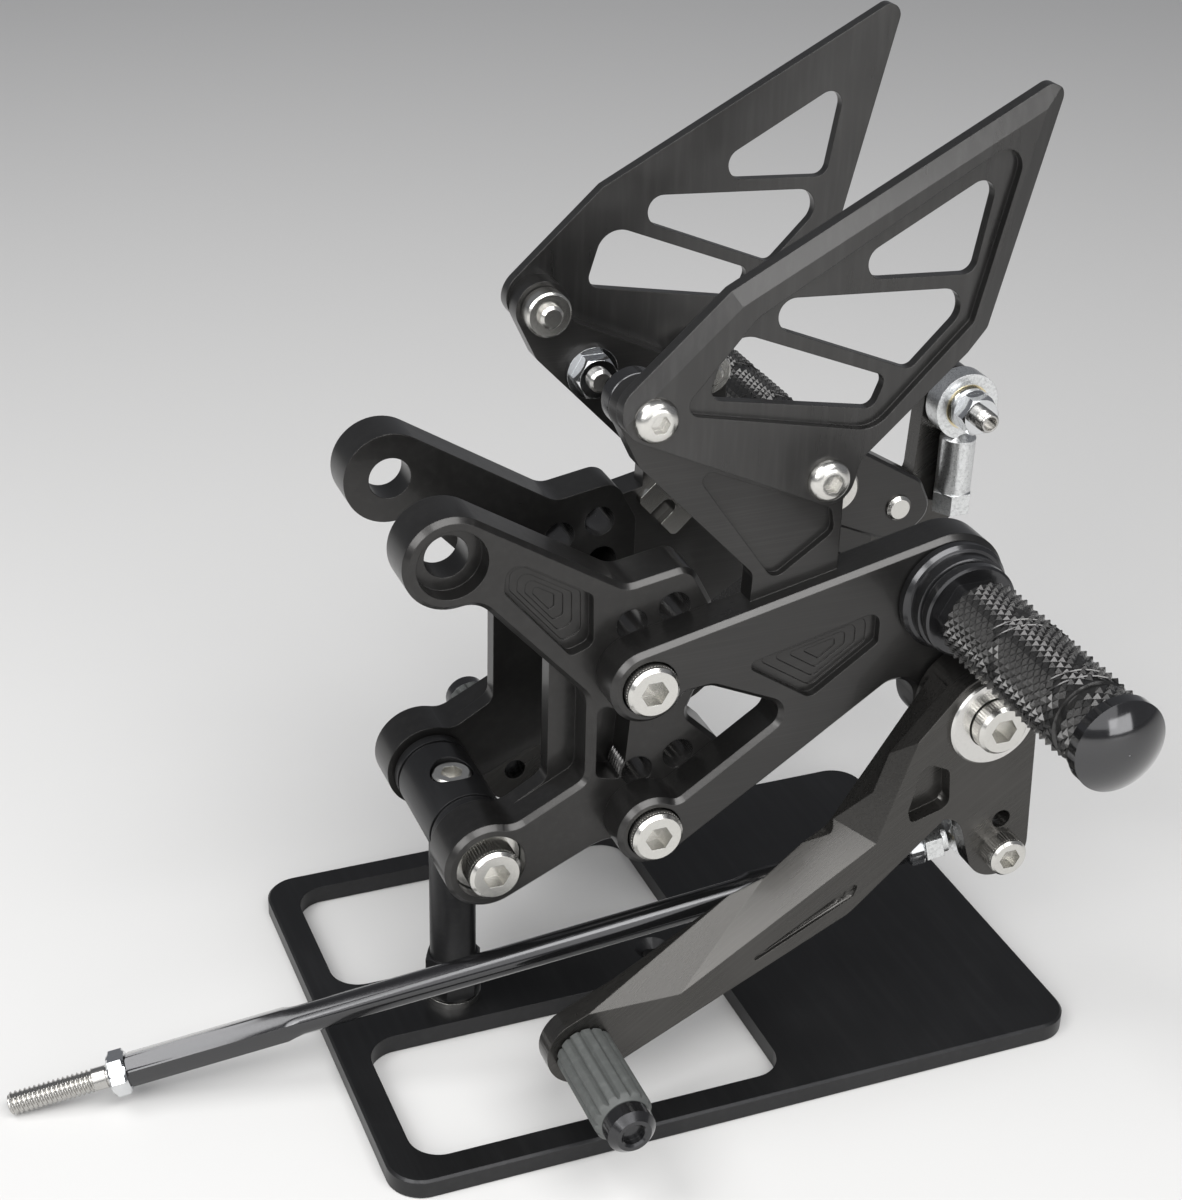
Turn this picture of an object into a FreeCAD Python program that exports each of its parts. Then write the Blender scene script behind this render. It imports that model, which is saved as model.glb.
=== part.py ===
import FreeCAD, Part
import math
import os

# Rear set footrests for a motorcycle: a mirrored left and right pair on a display stand.
# Millimetres. +X points to the rear, -Y to the gear-shift side, +Z up.
# The origin is the end of the stand's post, flush with the underside of the base plate.
# Flat parts are drawn in X and Z on the gear-shift side and mirrored for the brake side.

os.makedirs("parts", exist_ok=True)
V = FreeCAD.Vector

# Threads, screw heads and fits
M8 = 8.0
M8_HEAD = 13.0
M8_SOCKET = 6.0
M6 = 6.0
M6_CORE = 5.0
M6_HEAD = 10.0
M6_SOCKET = 5.0
CLEARANCE = 0.4
RUNNING_FIT = 0.05
THRUST_GAP = 0.1
COUNTERBORE_GAP = 1.0

# Display stand
BASE_FRONT = -35.5
BASE_LENGTH = 186.0
BASE_WIDTH = 130.0
BASE_THICK = 5.0
BASE_CORNER = 9.0
WINDOW_FRONT = -28.0
WINDOW_LENGTH = 98.0
WINDOW_RIM = 7.5
WINDOW_SPINE = 23.0
WINDOW_CORNER = 8.0
SPARE_HOLE_X = 57.3
SPARE_HOLE = 5.5
SPARE_SINK = 10.0
POST = 12.0
POST_FLATS = 13.0
POST_HEX_HEIGHT = 12.0
SPIGOT = 8.0
LOCK_WASHER = 14.5
LOCK_WASHER_THICK = 2.0
TUBE_Z = 65.5
TUBE = 20.0
TUBE_LENGTH = 35.0
TUBE_GROOVE = 0.7
TUBE_COLLAR = 5.0
TUBE_SCREW_REACH = 18.0
TUBE_BOLT_REACH = 10.0

# Frame brackets: X and Z of the holes, seen from the gear-shift side
BRACKET_THICK = 12.5
FLANGE_THICK = 4.5
EAR = 23.0
UPPER_EAR = (-9.3, 148.9)
UPPER_EAR_BORE = 10.5
UPPER_EAR_SINK = 17.0
UPPER_EAR_DEPTH = 4.7
LOWER_EAR = (0.0, TUBE_Z)
LOWER_EAR_SINK = 17.5
LOWER_EAR_DEPTH = 5.5
WASHER_THICK = 1.5
NOTCH_X = 24.0
FLANGE_X = 17.0
UPPER_BOLT = (35.3, 114.4)
ROW_STEP = (2.7, -40.9)
SPARE_OFFSETS = ((-0.9, 11.7), (9.8, 14.4), (10.7, 3.1))
CHAMFER = 1.2

# Main plates, with the arm that carries the heel guard
PLATE_THICK = 10.0
ARM_THICK = 5.5
PLATE_BOLT_SINK = 5.0
UPPER_BOSS = 9.6
LOWER_BOSS = 9.2
PEG = (113.0, 126.0)
PEG_BOSS = 15.2
PIVOT = (PEG[0] + 6.0, PEG[1] - 28.0)
PIVOT_BOSS = 12.3
POCKET_STEP = 0.35
TERRACE_SHRINK = 0.19

# Heel guards
GUARD_THICK = 4.5
GUARD_RECESS = 2.0
GUARD_BOLT_1 = (33.8, 182.2)
GUARD_BOLT_2 = (77.2, 161.5)
GUARD_BOSS = 7.0
BEVEL_WIDE = 4.0
BEVEL_DEEP = 1.4
BUTTON_HEAD = 10.5
BUTTON_RISE = 3.0
ROUND_NUT = 11.6
ROUND_NUT_LENGTH = 5.0

# Foot pegs
PEG_COLLAR = 28.0
PEG_COLLAR_LENGTH = 3.5
PEG_NECK = 18.0
PEG_NECK_LENGTH = 4.0
PEG_FLATS = 16.0
PEG_RING = 24.0
PEG_RING_LENGTH = 3.0
PEG_GRIP = 21.5
PEG_GRIP_LENGTH = 58.6
PEG_CAP = 22.6
PEG_CAP_LENGTH = 6.5
PEG_CAP_RIM = 2.8
PEG_CAP_SPIGOT = 10.0

# Shift lever and brake pedal
BOSS = 26.0
BOSS_THICK = 14.5
THRUST_WASHER = 1.0
ARM_STANDOFF = 2.0
BUSHING = 18.0
BUSHING_FLANGE = 23.4
BUSHING_FLANGE_THICK = 1.5
SHOULDER = 11.0
HEAD_SUNK = 3.4
TOE = (15.0, 25.0)
TOE_END = 19.0
TOE_THICK = 6.0
LEVER_EDGE = 1.5
LEVER_EYE = (PIVOT[0] + 6.6, PIVOT[1] - 38.7)
LEVER_EYE_END = 17.0
EYE_ARM_THICK = 5.5
BRAKE_TOE = (32.5, 42.0)
BRAKE_EYE = (PIVOT[0] + 40.5, PIVOT[1] + 39.3)
BRAKE_ARM_THICK = 6.0

# Toe pegs
TOE_PIN_COLLAR = 14.0
TOE_COLLAR_LENGTH = 2.5
TOE_SLEEVE = 12.8
TOE_SLEEVE_LENGTH = 24.0
TOE_FLUTES = 14
TOE_FLUTE = 1.5
TOE_CAP = 12.0
TOE_CAP_LENGTH = 5.5
TOE_CAP_HOLE = 5.5

# Link rod and rod ends
BALL = 12.8
BALL_WIDTH = 10.0
ROD_EYE = 17.0
ROD_EYE_THICK = 6.0
ROD_SHANK = 9.0
ROD_HEX = 10.0
ROD_FOOT_START = 10.5
ROD_FOOT_END = 15.0
JAM_NUT = 4.5
LINK_LENGTH = 202.0
LINK_HEX = 8.0
LINK_ROUND = 7.4
LINK_HEX_END = 44.0
LINK_TAPER = 4.0
STUD_OUT = 25.5
STUD_IN = 15.0
ROD_DROP = 13.17
ROD_SWING = 9.9
BRAKE_BALL_WIDTH = 9.0
BRAKE_FOOT_START = 26.0
BRAKE_FOOT_END = 32.0
BRAKE_THREAD = 16.0
EYE_WASHER = 1.0

# Small parts of the brake side
STOP_THICK = 6.0
STOP_PIN_AT = (PEG[0] + 21.6, PEG[1] - 10.4)
STOP_PIN = 7.2
STAY_THICK = 2.5
STAY_SCREW_AT = (74.2, 130.2)
STUD_NUT_AT = (46.5, 164.4)
STUD_FLANGE = 13.5

# Planes across the width, on the gear-shift side
BRACKET_INNER = -TUBE_LENGTH / 2
BRACKET_OUTER = BRACKET_INNER - BRACKET_THICK
PLATE_OUTER = BRACKET_OUTER - PLATE_THICK
ARM_OUTER = BRACKET_OUTER - ARM_THICK
GUARD_OUTER = ARM_OUTER - GUARD_THICK
LEVER_INNER = PLATE_OUTER - THRUST_WASHER
LEVER_OUTER = LEVER_INNER - BOSS_THICK
LEVER_ARM_INNER = LEVER_INNER - ARM_STANDOFF
LOWER_BOLT = (UPPER_BOLT[0] + ROW_STEP[0], UPPER_BOLT[1] + ROW_STEP[1])


def near(point, dx, dz, radius=0.0):
    """Corner of an outline, measured from a hole centre, with its rounding radius."""
    return (point[0] + dx, point[1] + dz, radius)


def outline(corners):
    """Closed wire in the XZ plane through corners (x, z, radius), each rounded by an arc."""
    ends = []
    for i, (x, z, radius) in enumerate(corners):
        here = V(x, 0, z)
        before = corners[i - 1]
        after = corners[(i + 1) % len(corners)]
        back = V(before[0], 0, before[1]) - here
        ahead = V(after[0], 0, after[1]) - here
        back.normalize()
        ahead.normalize()
        if radius == 0:
            ends.append((here, None, here))
            continue
        half = back.getAngle(ahead) / 2
        reach = radius / math.tan(half)
        inward = back + ahead
        inward.normalize()
        middle = here + inward * (radius / math.sin(half) - radius)
        ends.append((here + back * reach, middle, here + ahead * reach))
    edges = []
    for i, (start, middle, end) in enumerate(ends):
        if middle is not None:
            edges.append(Part.Arc(start, middle, end).toShape())
        following = ends[(i + 1) % len(ends)][0]
        if (following - end).Length > 0.001:
            edges.append(Part.makeLine(end, following))
    return Part.Wire(edges)


def beside(centre, boss, angle, radius):
    """Hollow roller that touches a boss at an angle in degrees, for a fillet against it."""
    reach = boss + radius + 0.01
    return (centre[0] + reach * math.cos(math.radians(angle)),
            centre[1] + reach * math.sin(math.radians(angle)), -radius)


def belt(rollers):
    """Closed wire in the XZ plane run counterclockwise round rollers (x, z, radius), each joined by tangents.

    A positive radius keeps the roller inside the outline, and a negative one leaves it outside as a hollow.
    """
    angles = []
    for i, (x, z, radius) in enumerate(rollers):
        next_x, next_z, next_radius = rollers[(i + 1) % len(rollers)]
        apart = math.hypot(next_x - x, next_z - z)
        heading = math.atan2(next_z - z, next_x - x)
        angles.append(heading - math.asin((next_radius - radius) / apart))
    edges = []
    arrival = None
    first = None
    for i, (x, z, radius) in enumerate(rollers):
        turn_in = angles[i - 1]
        turn_out = angles[i]
        sweep = (turn_out - turn_in) % (2 * math.pi)
        if radius < 0:
            sweep -= 2 * math.pi
        spots = []
        for share in (0, 0.5, 1):
            angle = turn_in + sweep * share - math.pi / 2
            spots.append(V(x + radius * math.cos(angle), 0, z + radius * math.sin(angle)))
        if arrival is not None and (spots[0] - arrival).Length > 0.02:
            edges.append(Part.makeLine(arrival, spots[0]))
        elif arrival is not None:
            spots[0] = arrival
        if first is None:
            first = spots[0]
        if abs(radius) > 0.001:
            edges.append(Part.Arc(*spots).toShape())
            arrival = spots[2]
        else:
            arrival = spots[0]
    edges.append(Part.makeLine(arrival, first))
    return Part.Wire(edges)


def slab(wire, y_low, y_high):
    """Plate inside a wire of the XZ plane, between two planes across the width."""
    face = Part.Face(wire)
    face.translate(V(0, y_low, 0))
    return face.extrude(V(0, y_high - y_low, 0))


def prism(corners, y_low, y_high):
    """Plate of a rounded outline between two planes across the width."""
    return slab(outline(corners), y_low, y_high)


def disc(centre, diameter, y_low, y_high):
    """Round bar or hole across the width."""
    return Part.makeCylinder(diameter / 2, y_high - y_low, V(centre[0], y_low, centre[1]), V(0, 1, 0))


def turned(profile):
    """Solid of revolution about Z from (radius, height) points that close on themselves."""
    points = [V(radius, 0, height) for radius, height in profile]
    points.append(points[0])
    return Part.Face(Part.makePolygon(points)).revolve(V(0, 0, 0), V(0, 0, 1), 360)


def dome(radius, low, high):
    """Spherical cap about Z that rises from a circle at the height low to a crown at high."""
    rise = high - low
    ball_radius = (radius * radius + rise * rise) / (2 * rise)
    sphere = Part.makeSphere(ball_radius, V(0, 0, high - ball_radius))
    return sphere.common(Part.makeCylinder(radius + 1, rise + 1, V(0, 0, low)))


def hexagon(flats, low, high):
    """Hexagonal bar about Z with two of its flats facing along Y."""
    corner = flats / math.sqrt(3)
    points = [V(corner * math.cos(math.radians(60 * k)), corner * math.sin(math.radians(60 * k)), low)
              for k in range(7)]
    return Part.Face(Part.makePolygon(points)).extrude(V(0, 0, high - low))


def placed(shape, point, direction):
    """A shape built about Z, moved so that Z runs along a direction from a point."""
    moved = shape.copy()
    moved.Placement = FreeCAD.Placement(V(*point), FreeCAD.Rotation(V(0, 0, 1), V(*direction)))
    return moved


def across(shape, centre, y, direction):
    """A shape built about Z, set on the plane y with Z running to -Y or +Y."""
    return placed(shape, (centre[0], y, centre[1]), (0, direction, 0))


def mirrored(shape):
    """The brake side's copy of a part of the gear-shift side."""
    return shape.mirror(V(0, 0, 0), V(0, 1, 0))


def fused(shapes):
    """One clean solid from shapes that meet."""
    return shapes[0].multiFuse(shapes[1:]).removeSplitter()


def export(name, *solids):
    """Write one named piece, or a group of like pieces."""
    found = []
    for shape in solids:
        found.extend(shape.Solids)
    shape = found[0] if len(found) == 1 else Part.makeCompound(found)
    shape.exportStep("parts/" + name + ".step")


def edges_at(shape, y, shortest=1.0):
    """Edges of a plate that lie in the plane y."""
    found = []
    for edge in shape.Edges:
        box = edge.BoundBox
        if abs(box.YMin - y) < 0.001 and abs(box.YMax - y) < 0.001 and edge.Length > shortest:
            found.append(edge)
    return found


def socket_screw(thread, reach, head, head_height, socket, socket_depth=None):
    """Cap screw about Z: its head stands above the plane z = 0 and its shank hangs below."""
    depth = socket_depth or head_height * 0.55
    edge = head * 0.06
    tip = thread * 0.12
    body = turned([(0, -reach), (thread / 2 - tip, -reach), (thread / 2, -reach + tip), (thread / 2, 0),
                   (head / 2, 0), (head / 2, head_height - edge), (head / 2 - edge, head_height),
                   (0, head_height)])
    return body.cut(hexagon(socket, head_height - depth, head_height + 1))


def button_screw(thread, reach, head, rise, socket):
    """Button-head screw about Z with a domed head above the plane z = 0."""
    tip = thread * 0.12
    crown = head * 0.22
    shank = turned([(0, -reach), (thread / 2 - tip, -reach), (thread / 2, -reach + tip), (thread / 2, 0.5), (0, 0.5)])
    rim = V(head / 2, 0, rise * 0.2)
    shoulder = V(head * 0.42, 0, rise * 0.75)
    top = V(crown, 0, rise)
    edges = [Part.makeLine(V(0, 0, 0), V(head / 2, 0, 0)), Part.makeLine(V(head / 2, 0, 0), rim),
             Part.Arc(rim, shoulder, top).toShape(), Part.makeLine(top, V(0, 0, rise)),
             Part.makeLine(V(0, 0, rise), V(0, 0, 0))]
    dome = Part.Face(Part.Wire(edges)).revolve(V(0, 0, 0), V(0, 0, 1), 360)
    return fused([shank, dome]).cut(hexagon(socket, rise * 0.35, rise + 1))


def hex_nut(flats, height, bore):
    """Hexagon nut about Z on the plane z = 0, chamfered at both ends."""
    corner = flats / math.sqrt(3)
    edge = (corner - flats / 2) * 0.7
    outer = turned([(0, 0), (flats / 2, 0), (corner, edge), (corner, height - edge), (flats / 2, height),
                    (0, height)])
    return hexagon(flats, 0, height).common(outer).cut(Part.makeCylinder(bore / 2, height + 2, V(0, 0, -1)))


def ring(outside, inside, height):
    """Plain washer about Z on the plane z = 0."""
    return Part.makeCylinder(outside / 2, height).cut(Part.makeCylinder(inside / 2, height + 2, V(0, 0, -1)))


def stepped_pocket(corners, y_face, depth, terraces):
    """Blind pocket sunk from the outer face y_face, with smaller terraces stepping down in its floor."""
    cutters = [prism(corners, y_face - 1, y_face + depth)]
    middle_x = sum(corner[0] for corner in corners) / len(corners)
    middle_z = sum(corner[1] for corner in corners) / len(corners)
    for level in range(1, terraces + 1):
        scale = 1 - TERRACE_SHRINK * level
        inner = [(middle_x + (x - middle_x) * scale, middle_z + (z - middle_z) * scale, radius * scale)
                 for x, z, radius in corners]
        cutters.append(prism(inner, y_face - 1, y_face + depth + POCKET_STEP * level))
    return cutters


def stand():
    """Base plate with two windows, turned post, lock washer, cross tube and its screw."""
    windows = []
    window_width = (BASE_WIDTH - 2 * WINDOW_RIM - WINDOW_SPINE) / 2
    plate = Part.makeBox(BASE_LENGTH, BASE_WIDTH, BASE_THICK, V(BASE_FRONT, -BASE_WIDTH / 2, 0))
    upright = [edge for edge in plate.Edges if edge.BoundBox.ZLength > BASE_THICK / 2]
    plate = plate.makeFillet(BASE_CORNER, upright)
    top = [edge for edge in plate.Edges if edge.BoundBox.ZMin > BASE_THICK - 0.01]
    plate = plate.makeChamfer(0.6, top)
    for side in (-1, 1):
        middle = side * (WINDOW_SPINE + window_width) / 2
        hole = Part.makeBox(WINDOW_LENGTH, window_width, BASE_THICK + 2,
                            V(WINDOW_FRONT, middle - window_width / 2, -1))
        corners = [edge for edge in hole.Edges if edge.BoundBox.ZLength > BASE_THICK]
        windows.append(hole.makeFillet(WINDOW_CORNER, corners))
    spigot_hole = Part.makeCylinder(SPIGOT / 2, BASE_THICK + 2, V(0, 0, -1))
    sink = (SPARE_SINK - SPARE_HOLE) / 2
    spare = turned([(0, -1), (SPARE_HOLE / 2, -1), (SPARE_HOLE / 2, BASE_THICK - sink),
                    (SPARE_SINK / 2, BASE_THICK), (SPARE_SINK / 2, BASE_THICK + 1), (0, BASE_THICK + 1)])
    spare.translate(V(SPARE_HOLE_X, 0, 0))
    export("stand_base", plate.cut(windows + [spigot_hole, spare]))

    washer_top = BASE_THICK + LOCK_WASHER_THICK
    washer = ring(LOCK_WASHER, SPIGOT + CLEARANCE, LOCK_WASHER_THICK)
    washer = washer.cut(Part.makeBox(LOCK_WASHER, 1.0, LOCK_WASHER_THICK + 2, V(0, -0.5, -1)))
    washer.translate(V(0, 0, BASE_THICK))
    export("post_lock_washer", washer)

    hex_top = washer_top + POST_HEX_HEIGHT
    tube_wall = TUBE / 2
    foot_corner = POST_FLATS / math.sqrt(3)
    foot_edge = foot_corner - POST_FLATS / 2
    foot_round = turned([(0, washer_top), (POST_FLATS / 2, washer_top), (foot_corner, washer_top + foot_edge),
                         (foot_corner, hex_top - foot_edge), (POST_FLATS / 2, hex_top), (0, hex_top)])
    foot = hexagon(POST_FLATS, washer_top, hex_top).common(foot_round)
    shaft = Part.makeCylinder(POST / 2, TUBE_Z - hex_top)
    shaft.translate(V(0, 0, hex_top))
    spigot = turned([(0, 0), (SPIGOT / 2 - 0.5, 0), (SPIGOT / 2, 0.5), (SPIGOT / 2, washer_top), (0, washer_top)])
    saddle = disc(LOWER_EAR, TUBE, -TUBE, TUBE)
    screw_seat = TUBE_Z + tube_wall - 1.0 - M6
    screw_hole = Part.makeCylinder(M6 / 2, TUBE, V(0, 0, screw_seat - TUBE_SCREW_REACH - 2))
    export("stand_post", fused([spigot, foot, shaft]).cut([saddle, screw_hole]))

    end = TUBE_LENGTH / 2
    groove = tube_wall - TUBE_GROOVE
    inner = end - TUBE_COLLAR
    tube = turned([(0, -end), (tube_wall - CHAMFER, -end), (tube_wall, CHAMFER - end), (tube_wall, -inner - 1.2),
                   (groove, -inner - 1.2), (groove, -inner), (tube_wall, -inner), (tube_wall, inner),
                   (groove, inner), (groove, inner + 1.2), (tube_wall, inner + 1.2), (tube_wall, end - CHAMFER),
                   (tube_wall - CHAMFER, end), (0, end)])
    tube = placed(tube, (LOWER_EAR[0], 0, LOWER_EAR[1]), (0, 1, 0))
    holes = [Part.makeCylinder(M6 / 2 + CLEARANCE, TUBE * 2, V(0, 0, TUBE_Z - TUBE)),
             Part.makeCylinder((M6_HEAD + COUNTERBORE_GAP) / 2, TUBE, V(0, 0, screw_seat)),
             disc(LOWER_EAR, M8, -end - 1, 0.5 - end + TUBE_BOLT_REACH),
             disc(LOWER_EAR, M8, end - TUBE_BOLT_REACH - 0.5, end + 1)]
    export("cross_tube", tube.cut(holes))
    export("tube_screw", placed(socket_screw(M6, TUBE_SCREW_REACH, M6_HEAD, M6, M6_SOCKET),
                                (0, 0, screw_seat), (0, 0, 1)))


def bracket_body(notch_x, y_low, y_high):
    """Layer of the frame bracket whose notch reaches back to notch_x."""
    ear = EAR / 2
    back = NOTCH_X - notch_x
    rollers = [(*UPPER_EAR, ear), beside(UPPER_EAR, ear, -79.0, 7.0),
               (notch_x - 6.0, UPPER_BOLT[1] - 8.6 + 1.19 * back, -6.0),
               (notch_x - 4.0, LOWER_EAR[1] + 22.0 - 0.46 * back, -4.0), beside(LOWER_EAR, ear, 72.0, 6.0),
               (*LOWER_EAR, ear),
               near(LOWER_BOLT, -7.0, -19.5, -12.0), near(LOWER_BOLT, 9.5, 2.5, 11.8), near(LOWER_BOLT, 17.2, 14.0, 4.0),
               near(UPPER_BOLT, 17.7, -14.9, -3.0), near(UPPER_BOLT, 13.7, -1.4, 6.0),
               near(UPPER_BOLT, 16.7, 13.1, 3.0), near(UPPER_BOLT, 11.2, 19.2, 5.0), near(UPPER_BOLT, -1.1, 28.2, -6.0)]
    return slab(belt(rollers), y_low, y_high)


def frame_bracket():
    """Bracket between the cross tube and the main plate, with two ears and eight threaded holes."""
    step = BRACKET_INNER - FLANGE_THICK
    body = fused([bracket_body(NOTCH_X, BRACKET_OUTER, step), bracket_body(FLANGE_X, step, BRACKET_INNER)])
    body = body.makeChamfer(CHAMFER, edges_at(body, BRACKET_OUTER))
    cutters = [disc(UPPER_EAR, UPPER_EAR_BORE, BRACKET_OUTER - 1, BRACKET_INNER + 1),
               disc(UPPER_EAR, UPPER_EAR_SINK, BRACKET_OUTER - 1, BRACKET_OUTER + UPPER_EAR_DEPTH),
               disc(LOWER_EAR, M8 + CLEARANCE, BRACKET_OUTER - 1, BRACKET_INNER + 1),
               disc(LOWER_EAR, LOWER_EAR_SINK, BRACKET_OUTER - 1, BRACKET_OUTER + LOWER_EAR_DEPTH)]
    for bolt in (UPPER_BOLT, LOWER_BOLT):
        cutters.append(disc(bolt, M8, BRACKET_OUTER - 1, BRACKET_INNER + 1))
        for dx, dz in SPARE_OFFSETS:
            hole = (bolt[0] + dx, bolt[1] + dz)
            cutters.append(disc(hole, M8, BRACKET_OUTER - 1, BRACKET_INNER + 1))
    triangle = [near(UPPER_EAR, 12.2, -9.2, 2), near(UPPER_EAR, 12.6, -2.6, 3), near(UPPER_EAR, 17.0, -2.9, 2),
                near(UPPER_EAR, 33.9, -13.3, 2), near(UPPER_EAR, 34.2, -26.5, 3), near(UPPER_EAR, 28.6, -28.5, 2)]
    cutters.extend(stepped_pocket(triangle, BRACKET_OUTER, 3.0, 4))
    rib = NOTCH_X + 2.4
    slot = [(rib, LOWER_BOLT[1] + 12.0, 2), (rib, UPPER_BOLT[1] - 8.4, 2),
            (rib + 8.6, UPPER_BOLT[1] - 12.4, 2), (rib + 7.2, LOWER_BOLT[1] + 10.0, 2)]
    cutters.append(prism(slot, BRACKET_OUTER - 1, BRACKET_OUTER + 8.0))
    return body.cut(cutters)


def tube_bolting():
    """Cap screw and washer that hold one bracket to the end of the cross tube."""
    seat = BRACKET_OUTER + LOWER_EAR_DEPTH
    washer = across(ring(LOWER_EAR_SINK - CLEARANCE, M8 + CLEARANCE, WASHER_THICK), LOWER_EAR, seat, -1)
    under_head = seat - WASHER_THICK
    reach = BRACKET_INNER + TUBE_BOLT_REACH - under_head
    screw = across(socket_screw(M8, reach, M8_HEAD, M8, M8_SOCKET), LOWER_EAR, under_head, -1)
    return washer, screw


def main_plate(side_holes):
    """Plate that carries the peg and the lever, with the thinner arm of the heel guard in one piece."""
    rollers = [(*PEG, PEG_BOSS), (*UPPER_BOLT, UPPER_BOSS), beside(UPPER_BOLT, UPPER_BOSS, -28.0, 2.2),
               near(UPPER_BOLT, 15.1, -8.0, -5.0), near(LOWER_BOLT, 27.6, 27.0, -4.0),
               beside(LOWER_BOLT, LOWER_BOSS, 62.6, 3.0), (*LOWER_BOLT, LOWER_BOSS),
               beside(PIVOT, PIVOT_BOSS, 181.5, 5.9), (*PIVOT, PIVOT_BOSS)]
    plate = slab(belt(rollers), PLATE_OUTER, BRACKET_OUTER)
    plate = plate.makeChamfer(CHAMFER, edges_at(plate, PLATE_OUTER, 0.0))
    arm = [(*GUARD_BOLT_2, GUARD_BOSS), beside(GUARD_BOLT_2, GUARD_BOSS, 135.0, 4.0),
           beside(GUARD_BOLT_1, GUARD_BOSS, -6.4, 4.0), (*GUARD_BOLT_1, GUARD_BOSS), near(GUARD_BOLT_1, 1.8, -10.7, 4.0),
           near(UPPER_BOLT, 23.6, 21.9, -3.2), near(UPPER_BOLT, 26.0, 5.0), near(PEG, -28.8, -1.0)]
    web = slab(belt(arm), ARM_OUTER, BRACKET_OUTER)
    recess = [near(GUARD_BOLT_1, 10.4, -14.2, 2), near(GUARD_BOLT_1, 33.8, -47.4, 3),
              near(GUARD_BOLT_2, 5.4, -16.1, 3), near(GUARD_BOLT_2, 4.3, -10.1, 2)]
    web = web.cut(prism(recess, ARM_OUTER - 1, ARM_OUTER + GUARD_RECESS))
    plate = fused([plate, web])
    arrow = [near(UPPER_BOLT, 23.6, 1.4, 1.5), near(PEG, -18.4, -1.6, 3), near(PEG, -18.4, -10.5, 2),
             near(PEG, -35.6, -22.6, 3)]
    cutters = stepped_pocket(arrow, PLATE_OUTER, 2.2, 4)
    sink = M8_HEAD + COUNTERBORE_GAP
    for bolt in (UPPER_BOLT, LOWER_BOLT):
        cutters.append(disc(bolt, M8 + CLEARANCE, PLATE_OUTER - 1, BRACKET_OUTER + 1))
        cutters.append(disc(bolt, sink, PLATE_OUTER - 1, PLATE_OUTER + PLATE_BOLT_SINK))
    cutters.append(disc(PEG, M8 + CLEARANCE, PLATE_OUTER - 1, BRACKET_OUTER + 1))
    cutters.append(disc(PIVOT, M8, PLATE_OUTER - 1, BRACKET_OUTER + 1))
    for centre in (GUARD_BOLT_1, GUARD_BOLT_2):
        cutters.append(disc(centre, M6 + CLEARANCE, ARM_OUTER - 1, BRACKET_OUTER + 1))
    for centre in side_holes:
        cutters.append(disc(centre, M6, PLATE_OUTER - 1, BRACKET_OUTER + 1))
    return plate.cut(cutters)


def bevel(start, end, y_face):
    """Wedge that planes a wide bevel along one outer edge of the guard."""
    run = V(end[0] - start[0], 0, end[1] - start[1])
    length = run.Length
    run.normalize()
    inward = V(-run.z, 0, run.x) * -1
    corner = V(start[0], y_face, start[1]) - run * length
    points = [corner + inward * BEVEL_WIDE, corner + V(0, BEVEL_DEEP, 0),
              corner + V(0, BEVEL_DEEP, 0) - inward * BEVEL_WIDE,
              corner - inward * BEVEL_WIDE - V(0, BEVEL_DEEP, 0),
              corner + inward * BEVEL_WIDE - V(0, BEVEL_DEEP, 0)]
    points.append(points[0])
    return Part.Face(Part.makePolygon(points)).extrude(run * (3 * length))


def heel_guard():
    """Bevelled guard with a recessed panel and three windows."""
    tip = near(GUARD_BOLT_2, 52.6, 89.7, 3)
    left = near(GUARD_BOLT_1, 17.1, 27.1, 2)
    heel = near(GUARD_BOLT_2, 38.6, 31.7, 2)
    toe = near(GUARD_BOLT_1, -12.9, -0.5, 7)
    corners = [toe, left, tip, heel, near(GUARD_BOLT_2, 8.3, 3.8, 4), near(GUARD_BOLT_2, 5.1, -9.0, 6)]
    blank = prism(corners, GUARD_OUTER, ARM_OUTER)
    wedges = [bevel(toe, left, GUARD_OUTER), bevel(left, tip, GUARD_OUTER), bevel(tip, heel, GUARD_OUTER)]
    recess = [near(GUARD_BOLT_1, 5.4, 0.3, 3), near(GUARD_BOLT_1, 23.2, 20.8, 3), near(GUARD_BOLT_2, 44.1, 78.4, 4.6),
              near(GUARD_BOLT_2, 34.0, 33.9, 2), near(GUARD_BOLT_2, 11.0, 10.6, 8)]
    upper = [near(GUARD_BOLT_2, -3.5, 47.1, 4), near(GUARD_BOLT_2, 38.0, 69.5, 3.5), near(GUARD_BOLT_2, 33.9, 44.9, 3)]
    middle = [near(GUARD_BOLT_1, 9.5, 25.0, 4), near(GUARD_BOLT_2, 37.6, 41.6, 5), near(GUARD_BOLT_2, 19.9, 23.6, 2.5)]
    lower = [near(GUARD_BOLT_1, 13.1, 2.1, 3), near(GUARD_BOLT_1, 18.0, 17.9, 6), near(GUARD_BOLT_2, 14.1, 22.7, 2.5),
             near(GUARD_BOLT_2, 11.2, 15.2, 2.5)]
    cutters = wedges + [prism(recess, GUARD_OUTER - 1, GUARD_OUTER + GUARD_RECESS)]
    for window in (upper, middle, lower):
        cutters.append(prism(window, GUARD_OUTER - 1, ARM_OUTER + 1))
    for centre in (GUARD_BOLT_1, GUARD_BOLT_2):
        cutters.append(disc(centre, M6 + CLEARANCE, GUARD_OUTER - 1, ARM_OUTER + 1))
    return blank.cut(cutters)


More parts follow.
